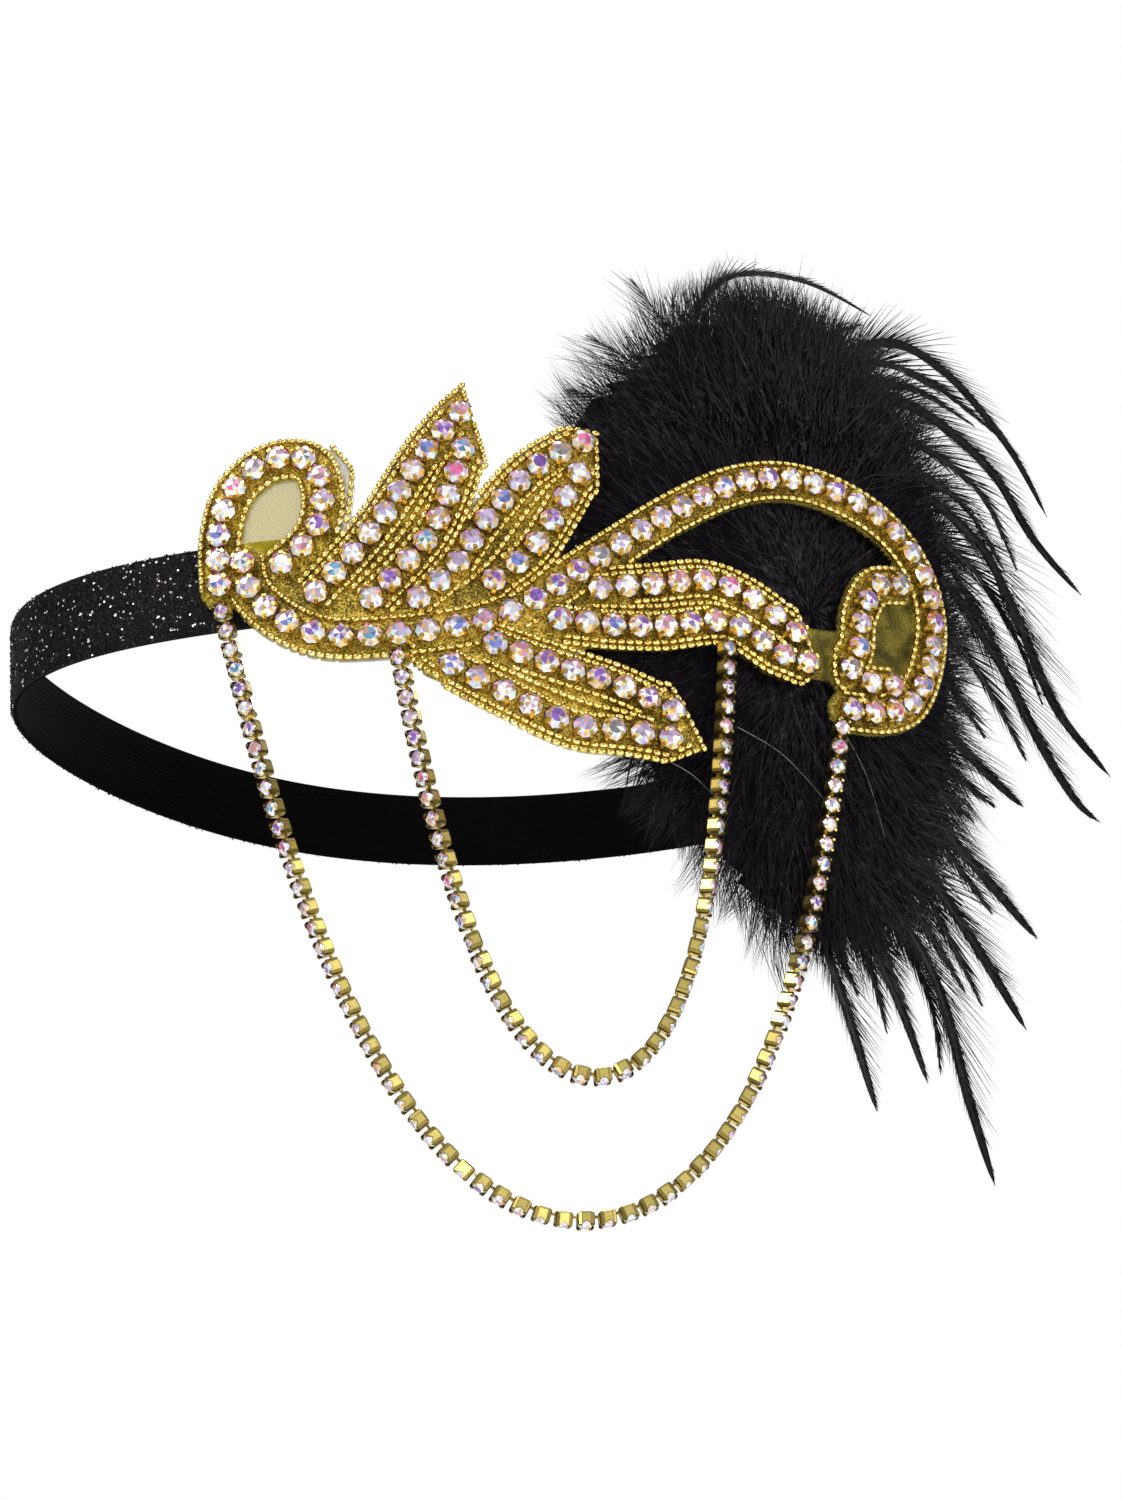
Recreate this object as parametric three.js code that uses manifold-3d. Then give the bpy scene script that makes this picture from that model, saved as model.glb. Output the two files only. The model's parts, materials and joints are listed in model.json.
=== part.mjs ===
// Flapper headband: an oval glitter band, a beaded scroll ornament on stiff net with rows of set
// stones, two swags of stone chain and a feather plume behind the ornament's right half.
// Millimetres, +Z up the wearer's head. The origin is the middle of the head opening at half the
// band's width, and the ornament faces -Y.

import * as THREE from 'three';
import { mergeVertices } from 'three/addons/utils/BufferGeometryUtils.js';
import Module from 'manifold-3d';

const wasm = await Module();
wasm.setup();

// Head loop: an egg-shaped oval, narrow at the forehead, turned so that its long flat side carries the
// ornament.
const LOOP_LENGTH = 200;
const LOOP_BREADTH = 156;
const LOOP_DRAWN = 0.02;
const LOOP_EGG = 0.15;
const LOOP_TURN = THREE.MathUtils.degToRad(33.1);
const BAND_WIDTH = 17;
const BAND_THICK = 1.2;
const BAND_STEPS = 88;

// Ornament: its net is bent round an upright axis, flatter than the head at its right end.
const BEND_RADIUS = 175;
const BEND_AXIS = new THREE.Vector2(-17, 95);
const NET_THICK = 1;
const NET_LAYER = 0.15;
const NET_MARGIN = 4.3;
const NET_STEP = 7;
const TIP_WIDTH = 1.4;

// Set stones: eight-sided settings with eight crown facets and a table.
const STONE_SIDES = 8;
const STONE_PITCH = 5.1;
const STONE_LIFT = 0.85;
const SETTING_FOOT = 1.85;
const SETTING_RADIUS = 2.2;
const SETTING_HEIGHT = 1.4;
const TABLE_RADIUS = 1.25;
const CROWN_HEIGHT = 1;

// Chains: cups of 3 mm at a pitch of 3.9 mm, drawn as the tube that their cups fill.
const CHAIN_DIAMETER = 3;
const CHAIN_SIDES = 8;
const CHAIN_STEP = 2.5 * CHAIN_DIAMETER;
const CHAIN_PITCH = 3.9;
const SWAG_RANGE = 40;
const SWAG_HALVINGS = 60;

// Plume: its sheet follows the ornament's bend as far as its root and then runs straight on.
const PLUME_STRAIGHT_FROM = 110;
const PLUME_BEHIND = 5;
const DOWN_SIDES = 16;
const DOWN_HOLLOW = 1.6;
const HACKLE_THICK = 1.6;
const HACKLE_TIP = 0.08;
const HACKLE_SWELL = { start: 0.2, run: 0.78 };
const LOCK_THIN = { amount: 0.9, power: 1.5 };
const LOCK_THICK = 0.5;
const BLADE_RIM = [[1, 0], [0, 1], [-1, 0], [0, -1]];
const LOCK_RIM = [[1, 0], [0.5, 0.85], [-0.5, 0.85], [-1, 0], [-0.5, -0.85], [0.5, -0.85]];

// Rows of stones sewn along the stem, the arch and the curls. Each point is [along the bend, up].
const SCROLL_ROWS = {
  left_curl: [
    [-25.8, -1], [-25.6, 8.8], [-22.6, 17.6], [-15.7, 22.8],
    [-8.3, 22], [-6, 15], [-8, 7.2], [-14, 1.8],
  ],
  stem: [
    [-21.3, 3], [-20, -3], [-14.2, -9.3], [-6.3, -13.2],
    [4.6, -13.9], [16.6, -13.1], [24.7, -11.3], [31.8, -8],
  ],
  arch: [
    [36, -5.2], [48.2, 3.1], [61, 11.4], [73.8, 17.8], [86, 20], [98, 18], [108, 13.2],
    [114.6, 5.5], [116.6, -4.3], [114, -14.2], [108.8, -22.5], [101.7, -26], [93.4, -26.5],
  ],
  right_curl: [
    [108.6, 1.5], [102.5, 0], [98.3, -6.3], [96.8, -12.8],
    [94.1, -18.5], [98.7, -20.4], [103.8, -20.3],
  ],
};

// Leaves: each has its tip and the two rows of stones that run from the tip to the stem.
const LEAVES = {
  leaf_1: {
    tip: [20.9, 36.6],
    upper: [[20.2, 30], [13.4, 22.2], [5, 9.7], [-1.6, 1.9], [-8, -4.5]],
    lower: [[20.3, 22.5], [17, 13], [12, 3.7], [2, -6.6]],
  },
  leaf_2: {
    tip: [46, 26.5],
    upper: [[43, 24], [32.7, 18], [23, 7], [17.4, -1.2], [10.5, -7.1]],
    lower: [[41.7, 17.5], [37, 9.6], [31.6, 1.7], [24.4, -4.1]],
  },
  leaf_3: {
    tip: [87, -18.8],
    upper: [[82.6, -12], [74, -6.1], [65.4, -3.2], [55.2, -4.5], [44, -5.8]],
    lower: [[84.4, -18], [78, -16.4], [68.4, -11.3], [55, -13], [45, -13], [36, -12]],
  },
  leaf_4: {
    tip: [62, -36.6],
    upper: [[56, -29.5], [46.2, -25], [34.7, -21], [23.8, -16.7]],
    lower: [[55, -35], [46.8, -33.8], [36.6, -32.4], [24.8, -26], [15.8, -20.4]],
  },
};

// Net filling inside the curls, the left curl's doubled side, the strip that ties leaf 3 to the right
// curl and the ground between the leaves' bases, as level sections.
const NET_PANELS = {
  left_window: [
    { up: 0, from: -23, to: -13 }, { up: 8, from: -25, to: -7 },
    { up: 16, from: -24, to: -7 }, { up: 22, from: -18, to: -9 },
  ],
  left_side: [
    { up: 5, from: -7, to: -3 }, { up: 10, from: -6, to: -1.2 }, { up: 16, from: -5, to: -0.2 },
    { up: 20, from: -6, to: 0 }, { up: 24.5, from: -8, to: -3 },
  ],
  right_window: [
    { up: -24, from: 95, to: 108 }, { up: -18, from: 96, to: 112 }, { up: -10, from: 98, to: 115 },
    { up: -2, from: 101, to: 115 }, { up: 5, from: 107, to: 113 },
  ],
  bridge: [{ up: -20.5, from: 85, to: 95 }, { up: -16.5, from: 80, to: 98 }, { up: -10.3, from: 82, to: 99 }],
  leaf_bases: [
    { up: -10.5, from: -7, to: 27 }, { up: -6.5, from: -13, to: 30 },
    { up: -2, from: -15, to: 31 }, { up: 2, from: -14, to: 27 },
  ],
  leaf_fork: [
    { up: -19.5, from: 27, to: 34 }, { up: -16.5, from: 26, to: 43 }, { up: -12, from: 26, to: 45 },
  ],
  leaf_root: [
    { up: -24, from: 15.5, to: 23 }, { up: -21.7, from: 11, to: 24 }, { up: -19.6, from: 8.6, to: 24 },
    { up: -17.5, from: 7.4, to: 24 }, { up: -14.5, from: 9, to: 24 },
  ],
};

// Swags: where each end is sewn on, [along the bend, up], and the number of cups.
const SWAGS = {
  chain_outer: { start: [-25.6, -4.6], end: [90.6, -28.9], cups: 65 },
  chain_inner: { start: [6.3, -16.9], end: [67.8, -15], cups: 47 },
};

// Downy body of the plume in level sections: its two edges along the sheet, how far behind the
// ornament its front face lies, and the same for its back face at the left and the right edge.
const DOWN_SECTIONS = [
  { up: 63, from: 74, to: 94, front: 0, backLeft: 3.5, backRight: 4.5 },
  { up: 58, from: 64, to: 106, front: -3, backLeft: 5, backRight: 8 },
  { up: 48, from: 54, to: 119, front: -4, backLeft: 5, backRight: 10 },
  { up: 38, from: 45, to: 126, front: -3, backLeft: 5, backRight: 12 },
  { up: 30, from: 41, to: 129, front: 1.4, backLeft: 4, backRight: 12 },
  { up: 20, from: 41, to: 130, front: 1.4, backLeft: 3.4, backRight: 13 },
  { up: 12, from: 44, to: 131, front: 1.4, backLeft: 2.1, backRight: 13 },
  { up: 0, from: 50, to: 131, front: 1.4, backLeft: 2.1, backRight: 13 },
  { up: -12, from: 47, to: 129, front: 1.4, backLeft: 2.1, backRight: 13 },
  { up: -22, from: 45, to: 126, front: 1.6, backLeft: 3.4, backRight: 12 },
  { up: -32, from: 47, to: 125, front: 2, backLeft: 4.8, backRight: 12 },
  { up: -41, from: 49, to: 124, front: 3, backLeft: 6, backRight: 11 },
  { up: -50, from: 57, to: 119, front: 3, backLeft: 6.5, backRight: 11 },
  { up: -60, from: 64, to: 113, front: 3, backLeft: 6.5, backRight: 10 },
  { up: -68, from: 71, to: 104, front: 3.2, backLeft: 6.5, backRight: 9 },
  { up: -73, from: 80, to: 95, front: 4, backLeft: 6, backRight: 7 },
];

// Hackles: stiff curved feathers from the root to their tips. Each point is [along, up, lift].
const HACKLES = [
  { width: 9, path: [[84, 6, 0], [94, 42, 1], [114, 57, 3], [131, 55, 3], [148, 42, 2], [158, 28, 1]] },
  { width: 10, path: [[87, -2, -0.5], [104, 37, 0], [121, 46, 1], [141, 36, 2], [153, 22, 1], [166, 12, 0]] },
  { width: 11, path: [[92, -2, -1], [118, 26, -1], [136, 19, 1], [144, 3, 2], [152, -16, 2], [167, -28, 0]] },
  {
    width: 11,
    path: [[96, -10, -2], [124, 10, -2], [138, -5, 0], [148, -23, 0], [157, -34, -1], [163, -38, -1]],
  },
  { width: 9, path: [[99, -17, -3], [119, -19, -2], [131, -30, -1], [143, -37, -2]] },
  { width: 10, path: [[93, -26, -2], [114, -40, -1], [125, -51, 0], [140, -65, 0]] },
  { width: 10, path: [[91, -31, -1.5], [107, -47, -1], [120, -65, 1], [133, -84, 1]] },
  { width: 10, path: [[88, -35, -1], [101, -57, -1], [111, -76, 1], [115, -99, 2], [119, -115, 2]] },
  { width: 8, path: [[85, -39, -2], [95, -62, -2], [102, -81, 0], [107, -96, 0]] },
  { width: 8, path: [[82, -39, -1], [86, -66, -1], [90, -85, 0], [94, -102, 0]] },
  { width: 6, path: [[76, 32, 0], [70, 53, 1], [78, 65, 2], [95, 67, 3], [113, 63, 3]] },
];

// Downy locks that stand out round the plume's edge, from inside the down to their tips.
const LOCKS = [
  { width: 11, path: [[62, 32, 2], [52, 35, 2.5], [42, 37, 2.5]] },
  { width: 11, path: [[64, 38, 2], [55, 44, 2.5], [47, 49, 2]] },
  { width: 10, path: [[68, 46, 1], [62, 55, 2], [57, 62, 2]] },
  { width: 10, path: [[80, 48, 1], [78, 60, 2], [76, 69, 2]] },
  { width: 11, path: [[96, 46, 0], [103, 57, 2], [111, 61, 2]] },
  { width: 12, path: [[110, 36, -2], [122, 42, 0], [132, 44, 1]] },
  { width: 12, path: [[114, 4, -4], [126, 6, -2], [137, 2, -1]] },
  { width: 12, path: [[112, -28, -4], [122, -36, -2], [131, -44, -1]] },
  { width: 11, path: [[104, -48, -2], [111, -62, 0], [118, -73, 1]] },
  { width: 11, path: [[90, -54, -2], [93, -70, -1], [95, -83, 0]] },
  { width: 11, path: [[78, -54, -2], [76, -70, -1.5], [77, -82, -1]] },
  { width: 10, path: [[70, -48, -1.5], [63, -62, -1.5], [60, -70, -1.5]] },
  { width: 10, path: [[66, -40, -1], [56, -46, -1], [48, -51, -1]] },
];

const COLOURS = {
  glitter: { color: 0x17161a, roughness: 0.55, metalness: 0.1 },
  net: { color: 0xb9a44f, roughness: 0.8, metalness: 0 },
  stones: { color: 0xd9cfe2, roughness: 0.12, metalness: 0.35 },
  gold: { color: 0xc9a02f, roughness: 0.3, metalness: 0.9 },
  feather: { color: 0x0c0b0e, roughness: 0.7, metalness: 0 },
};

// A point of the ornament: along its bend, up, and above the net's lowest outer face.
function onOrnament(along, up, height) {
  const angle = along / BEND_RADIUS;
  const radius = BEND_RADIUS + height;
  return new THREE.Vector3(
    BEND_AXIS.x + radius * Math.sin(angle),
    BEND_AXIS.y - radius * Math.cos(angle),
    up,
  );
}

// A point of the plume's sheet, which leaves the ornament's bend and runs straight past its root.
function onPlume(along, up, lift) {
  const bent = Math.min(along, PLUME_STRAIGHT_FROM);
  const angle = bent / BEND_RADIUS;
  const tangent = new THREE.Vector3(Math.cos(angle), Math.sin(angle), 0);
  return onOrnament(bent, up, lift - PLUME_BEHIND).addScaledVector(tangent, along - bent);
}

// A closed body from sections with equal numbers of points, each end closed by a fan.
function loft(sections) {
  const count = sections[0].length;
  const positions = sections.flat().flatMap((point) => point.toArray());
  const faces = [];
  for (let s = 0; s + 1 < sections.length; s++) {
    for (let k = 0; k < count; k++) {
      const a = s * count + k;
      const b = s * count + (k + 1) % count;
      faces.push(a, b, b + count, a, b + count, a + count);
    }
  }
  const last = (sections.length - 1) * count;
  for (let k = 1; k + 1 < count; k++) {
    faces.push(0, k + 1, k, last, last + k, last + k + 1);
  }
  const geometry = new THREE.BufferGeometry();
  geometry.setAttribute('position', new THREE.Float32BufferAttribute(positions, 3));
  geometry.setIndex(faces);
  return facingOut(geometry);
}

// The same body with its faces turned outwards, judged by the sign of its volume.
function facingOut(geometry) {
  const position = geometry.getAttribute('position');
  const index = geometry.getIndex();
  const corner = [0, 1, 2].map(() => new THREE.Vector3());
  let volume = 0;
  for (let f = 0; f < index.count; f += 3) {
    corner.forEach((point, k) => point.fromBufferAttribute(position, index.getX(f + k)));
    volume += corner[0].dot(corner[1].clone().cross(corner[2]));
  }
  if (volume < 0) {
    for (let f = 0; f < index.count; f += 3) {
      const first = index.getX(f);
      index.setX(f, index.getX(f + 2));
      index.setX(f + 2, first);
    }
  }
  return geometry;
}

// One solid that joins several closed bodies.
function fuse(geometries) {
  const solids = geometries.map((geometry) => new wasm.Manifold(new wasm.Mesh({
    numProp: 3,
    vertProperties: Float32Array.from(geometry.getAttribute('position').array),
    triVerts: Uint32Array.from(geometry.getIndex().array),
  })));
  const joined = solids.reduce((all, solid) => all.add(solid)).getMesh();
  const geometry = new THREE.BufferGeometry();
  geometry.setAttribute('position', new THREE.BufferAttribute(joined.vertProperties, 3));
  geometry.setIndex(new THREE.BufferAttribute(joined.triVerts, 1));
  return geometry;
}

function piece(name, geometry, finish) {
  const mesh = new THREE.Mesh(geometry, new THREE.MeshStandardMaterial(COLOURS[finish]));
  mesh.name = name;
  return mesh;
}

// Glitter band: the egg-shaped loop extruded to the band's width.
function bandOutline(offset) {
  const long = LOOP_LENGTH / 2 / (1 + LOOP_DRAWN);
  const broad = LOOP_BREADTH / 2 / (1 + LOOP_DRAWN);
  const points = [];
  for (let k = 0; k < BAND_STEPS; k++) {
    const turn = (k / BAND_STEPS) * 2 * Math.PI;
    const swell = 1 + LOOP_EGG * Math.cos(turn);
    const rise = Math.sin(turn) - LOOP_DRAWN * Math.sin(3 * turn);
    const riseSlope = Math.cos(turn) - 3 * LOOP_DRAWN * Math.cos(3 * turn);
    const x = long * (Math.cos(turn) + LOOP_DRAWN * Math.cos(3 * turn));
    const y = broad * rise * swell;
    const slopeX = -long * (Math.sin(turn) + 3 * LOOP_DRAWN * Math.sin(3 * turn));
    const slopeY = broad * (riseSlope * swell - rise * LOOP_EGG * Math.sin(turn));
    const outward = new THREE.Vector2(slopeY, -slopeX).normalize();
    points.push(new THREE.Vector2(x, y).addScaledVector(outward, offset));
  }
  return points;
}

function glitterBand() {
  const shape = new THREE.Shape(bandOutline(BAND_THICK / 2));
  shape.holes.push(new THREE.Path(bandOutline(-BAND_THICK / 2)));
  const ring = new THREE.ExtrudeGeometry(shape, { depth: BAND_WIDTH, bevelEnabled: false });
  ring.deleteAttribute('normal');
  ring.deleteAttribute('uv');
  const mesh = piece('glitter_band', mergeVertices(ring), 'glitter');
  mesh.position.z = -BAND_WIDTH / 2;
  mesh.rotation.z = LOOP_TURN;
  return mesh;
}

// Curves in the flat of the ornament.
function flatCurve(points) {
  return new THREE.SplineCurve(points.map(([along, up]) => new THREE.Vector2(along, up)));
}

function leftOf(direction) {
  return new THREE.Vector2(-direction.y, direction.x);
}

// A strip of net between two edges, in parts across so that it follows the bend.
function netStrip(pairs, layer) {
  const outer = layer * NET_LAYER;
  const inner = outer - NET_THICK;
  const widest = Math.max(...pairs.map(([left, right]) => left.distanceTo(right)));
  const parts = Math.ceil(widest / NET_STEP);
  return loft(pairs.map(([left, right]) => {
    const across = Array.from({ length: parts + 1 }, (_, k) => left.clone().lerp(right, k / parts));
    const front = across.map((point) => onOrnament(point.x, point.y, outer));
    const back = across.map((point) => onOrnament(point.x, point.y, inner)).reverse();
    return [...front, ...back];
  }));
}

function ribbonNet(points, layer) {
  const curve = flatCurve(points);
  const steps = Math.ceil(curve.getLength() / NET_STEP);
  const pairs = [];
  for (let k = 0; k <= steps; k++) {
    const centre = curve.getPointAt(k / steps);
    const side = leftOf(curve.getTangentAt(k / steps)).multiplyScalar(NET_MARGIN);
    pairs.push([centre.clone().add(side), centre.clone().sub(side)]);
  }
  return netStrip(pairs, layer);
}

function leafNet({ tip, upper, lower }, layer) {
  const rows = [flatCurve(upper), flatCurve(lower)];
  const steps = Math.ceil(rows[0].getLength() / NET_STEP);
  const point = new THREE.Vector2(...tip);
  const spread = leftOf(rows[0].getTangentAt(0)).multiplyScalar(TIP_WIDTH / 2);
  const turn = Math.sign(spread.dot(rows[0].getPointAt(0.5).sub(rows[1].getPointAt(0.5))));
  const pairs = [[point.clone().addScaledVector(spread, turn), point.clone().addScaledVector(spread, -turn)]];
  for (let k = 0; k <= steps; k++) {
    pairs.push(rows.map((row, r) => {
      const away = leftOf(row.getTangentAt(k / steps)).multiplyScalar(turn * (r === 0 ? 1 : -1));
      return row.getPointAt(k / steps).addScaledVector(away, NET_MARGIN);
    }));
  }
  return netStrip(pairs, layer);
}

function panelNet(sections, layer) {
  const pairs = sections.map(({ up, from, to }) => [new THREE.Vector2(from, up), new THREE.Vector2(to, up)]);
  return netStrip(pairs, layer);
}

function netBacking() {
  const strips = [
    ribbonNet(SCROLL_ROWS.stem, 0),
    ribbonNet(SCROLL_ROWS.arch, 1),
    ribbonNet(SCROLL_ROWS.left_curl, 2),
    ribbonNet(SCROLL_ROWS.right_curl, 3),
    leafNet(LEAVES.leaf_1, 1),
    leafNet(LEAVES.leaf_2, 2),
    leafNet(LEAVES.leaf_3, 2),
    leafNet(LEAVES.leaf_4, 3),
    panelNet(NET_PANELS.left_window, 1),
    panelNet(NET_PANELS.left_side, 3),
    panelNet(NET_PANELS.right_window, 2),
    panelNet(NET_PANELS.bridge, 0),
    panelNet(NET_PANELS.leaf_bases, -1),
    panelNet(NET_PANELS.leaf_fork, -1),
    panelNet(NET_PANELS.leaf_root, -1),
  ];
  return piece('net_backing', fuse(strips), 'net');
}

// A row of set stones: each setting's end walls run on into a link to its neighbour.
function stoneRow(name, points) {
  const curve = flatCurve(points);
  const last = Math.round(curve.getLength() / STONE_PITCH);
  const rings = [
    { radius: SETTING_FOOT, height: 0 },
    { radius: SETTING_RADIUS, height: SETTING_HEIGHT },
    { radius: TABLE_RADIUS, height: SETTING_HEIGHT + CROWN_HEIGHT },
  ];
  const positions = [];
  const faces = [];
  const corner = (stone, ring, side) => (
    stone * rings.length * STONE_SIDES + ring * STONE_SIDES + (side + STONE_SIDES) % STONE_SIDES
  );
  const quad = (a, b, c, d) => faces.push(a, b, c, a, c, d);
  for (let stone = 0; stone <= last; stone++) {
    const centre = curve.getPointAt(stone / last);
    const heading = curve.getTangentAt(stone / last).angle();
    for (const { radius, height } of rings) {
      for (let side = 0; side < STONE_SIDES; side++) {
        const turn = heading + (side - 0.5) * 2 * Math.PI / STONE_SIDES;
        const along = centre.x + radius * Math.cos(turn);
        const up = centre.y + radius * Math.sin(turn);
        positions.push(...onOrnament(along, up, STONE_LIFT + height).toArray());
      }
    }
    for (let side = 0; side < STONE_SIDES; side++) {
      const linkedOn = side === 0 && stone < last;
      const linkedBack = side === STONE_SIDES / 2 && stone > 0;
      if (!linkedOn && !linkedBack) {
        quad(
          corner(stone, 0, side), corner(stone, 0, side + 1),
          corner(stone, 1, side + 1), corner(stone, 1, side),
        );
      }
      quad(
        corner(stone, 1, side), corner(stone, 1, side + 1),
        corner(stone, 2, side + 1), corner(stone, 2, side),
      );
    }
    for (let side = 1; side + 1 < STONE_SIDES; side++) {
      faces.push(corner(stone, 0, 0), corner(stone, 0, side + 1), corner(stone, 0, side));
      faces.push(corner(stone, 2, 0), corner(stone, 2, side), corner(stone, 2, side + 1));
    }
    if (stone < last) {
      const near = [[0, 0], [0, 1], [1, 1], [1, 0]].map(([ring, side]) => corner(stone, ring, side));
      const half = STONE_SIDES / 2;
      const far = [[0, 1], [0, 0], [1, 0], [1, 1]]
        .map(([ring, side]) => corner(stone + 1, ring, half + side));
      for (let k = 0; k < near.length; k++) {
        const next = (k + 1) % near.length;
        quad(near[k], near[next], far[next], far[k]);
      }
    }
  }
  const geometry = new THREE.BufferGeometry();
  geometry.setAttribute('position', new THREE.Float32BufferAttribute(positions, 3));
  geometry.setIndex(faces);
  return piece(name, facingOut(geometry), 'stones');
}

// A swag hangs as a catenary in the upright plane through its two ends.
function swagCurve({ start, end, cups }) {
  const height = STONE_LIFT + SETTING_HEIGHT;
  const from = onOrnament(...start, height);
  const to = onOrnament(...end, height);
  const length = cups * CHAIN_PITCH;
  const span = Math.hypot(to.x - from.x, to.y - from.y);
  const rise = to.z - from.z;
  const slack = Math.sqrt(length ** 2 - rise ** 2);
  let low = span / SWAG_RANGE;
  let high = span * SWAG_RANGE;
  for (let k = 0; k < SWAG_HALVINGS; k++) {
    const middle = (low + high) / 2;
    if (2 * middle * Math.sinh(span / (2 * middle)) > slack) low = middle;
    else high = middle;
  }
  const size = high;
  const lowest = span / 2 - size * Math.atanh(rise / length);
  const startArc = size * Math.sinh(-lowest / size);
  const steps = Math.round(length / CHAIN_STEP);
  const points = [];
  for (let k = 0; k <= steps; k++) {
    const across = lowest + size * Math.asinh((startArc + length * k / steps) / size);
    const drop = size * (Math.cosh((across - lowest) / size) - Math.cosh(lowest / size));
    const point = from.clone().lerp(to, across / span);
    point.z = from.z + drop;
    points.push(point);
  }
  return { curve: new THREE.CatmullRomCurve3(points), steps };
}

function chain(name) {
  const { curve, steps } = swagCurve(SWAGS[name]);
  const section = new THREE.Shape();
  section.absarc(0, 0, CHAIN_DIAMETER / 2, 0, 2 * Math.PI);
  const tube = new THREE.ExtrudeGeometry(section, {
    steps,
    curveSegments: CHAIN_SIDES / 2,
    bevelEnabled: false,
    extrudePath: curve,
  });
  tube.deleteAttribute('normal');
  tube.deleteAttribute('uv');
  return piece(name, mergeVertices(tube), 'gold');
}

// The down's body: rounded level sections, thin where it passes between the ornament and the band.
function downBody() {
  return loft(DOWN_SECTIONS.map(({ up, from, to, front, backLeft, backRight }) => {
    const points = [];
    for (let k = 0; k < DOWN_SIDES; k++) {
      const turn = (k / DOWN_SIDES) * 2 * Math.PI;
      const share = (1 - Math.cos(turn)) / 2;
      const back = THREE.MathUtils.lerp(backLeft, backRight, share ** DOWN_HOLLOW);
      const depth = (front + back) / 2 + (back - front) / 2 * Math.sin(turn);
      points.push(onPlume(THREE.MathUtils.lerp(from, to, share), up, PLUME_BEHIND - depth));
    }
    return points;
  }));
}

// A feather or lock along a path on the plume's sheet: its section, [across, over], tapers to the tip.
function feather({ path, width }, thick, rim, taper) {
  const curve = new THREE.CatmullRomCurve3(path.map((point) => new THREE.Vector3(...point)));
  const steps = 2 * path.length;
  const sections = [];
  for (let k = 0; k <= steps; k++) {
    const { x, y, z } = curve.getPointAt(k / steps);
    const heading = curve.getTangentAt(k / steps);
    const side = leftOf(new THREE.Vector2(heading.x, heading.y).normalize());
    const share = taper(k / steps);
    sections.push(rim.map(([across, over]) => onPlume(
      x + side.x * across * width / 2 * share,
      y + side.y * across * width / 2 * share,
      z + over * thick / 2 * Math.sqrt(share),
    )));
  }
  return loft(sections);
}

function hackleTaper(share) {
  return Math.max(HACKLE_TIP, Math.sin(Math.PI * (HACKLE_SWELL.start + HACKLE_SWELL.run * share)));
}

function lockTaper(share) {
  return 1 - LOCK_THIN.amount * share ** LOCK_THIN.power;
}

function featherPlume() {
  const hackles = HACKLES.map((row) => feather(row, HACKLE_THICK, BLADE_RIM, hackleTaper));
  const locks = LOCKS.map((row) => feather(row, row.width * LOCK_THICK, LOCK_RIM, lockTaper));
  return piece('feather_plume', fuse([downBody(), ...hackles, ...locks]), 'feather');
}

const headband = new THREE.Group();
headband.add(glitterBand(), netBacking());
for (const [name, points] of Object.entries(SCROLL_ROWS)) {
  headband.add(stoneRow(`stones_${name}`, points));
}
for (const [name, { upper, lower }] of Object.entries(LEAVES)) {
  headband.add(stoneRow(`stones_${name}_upper`, upper), stoneRow(`stones_${name}_lower`, lower));
}
headband.add(chain('chain_outer'), chain('chain_inner'), featherPlume());

export default headband;
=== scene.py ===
"""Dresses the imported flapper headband: glitter band, beaded ornament, cup chains and feathers."""

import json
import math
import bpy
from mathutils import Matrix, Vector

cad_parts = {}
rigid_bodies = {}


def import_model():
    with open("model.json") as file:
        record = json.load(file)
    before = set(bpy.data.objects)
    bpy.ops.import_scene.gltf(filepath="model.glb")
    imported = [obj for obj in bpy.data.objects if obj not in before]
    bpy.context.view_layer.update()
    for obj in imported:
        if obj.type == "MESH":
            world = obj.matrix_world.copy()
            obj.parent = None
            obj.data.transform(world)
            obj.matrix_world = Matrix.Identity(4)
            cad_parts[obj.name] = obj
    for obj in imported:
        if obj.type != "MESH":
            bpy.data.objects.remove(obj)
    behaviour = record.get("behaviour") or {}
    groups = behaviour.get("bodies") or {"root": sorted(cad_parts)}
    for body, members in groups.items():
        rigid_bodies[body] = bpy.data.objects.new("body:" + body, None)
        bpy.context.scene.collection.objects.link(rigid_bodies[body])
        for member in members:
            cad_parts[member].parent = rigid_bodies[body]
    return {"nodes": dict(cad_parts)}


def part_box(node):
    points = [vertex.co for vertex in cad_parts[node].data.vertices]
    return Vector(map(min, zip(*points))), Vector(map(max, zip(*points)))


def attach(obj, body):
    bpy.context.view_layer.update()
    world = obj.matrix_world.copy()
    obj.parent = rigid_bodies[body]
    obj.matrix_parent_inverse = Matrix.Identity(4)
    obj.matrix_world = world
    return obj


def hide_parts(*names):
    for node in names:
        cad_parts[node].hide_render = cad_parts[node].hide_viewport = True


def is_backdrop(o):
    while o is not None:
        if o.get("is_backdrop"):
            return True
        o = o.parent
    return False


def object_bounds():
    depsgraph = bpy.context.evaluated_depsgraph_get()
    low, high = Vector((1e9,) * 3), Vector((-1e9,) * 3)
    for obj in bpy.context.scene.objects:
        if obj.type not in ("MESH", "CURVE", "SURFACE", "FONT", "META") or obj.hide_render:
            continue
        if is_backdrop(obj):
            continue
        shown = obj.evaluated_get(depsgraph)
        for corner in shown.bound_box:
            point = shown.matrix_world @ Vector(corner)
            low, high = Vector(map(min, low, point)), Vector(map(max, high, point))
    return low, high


bl_info = {
    "name": "Flapper Headband",
    "version": (1, 0, 0),
    "blender": (4, 5, 0),
    "location": "View3D > Sidebar > Headband",
    "description": "Builds a beaded flapper headband with chain swags and feathers on its CAD frame",
    "category": "Add Mesh",
}

import bmesh
import bpy
import numpy as np
from bpy.props import FloatProperty, FloatVectorProperty, IntProperty, PointerProperty
from mathutils import Matrix, Vector

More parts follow.
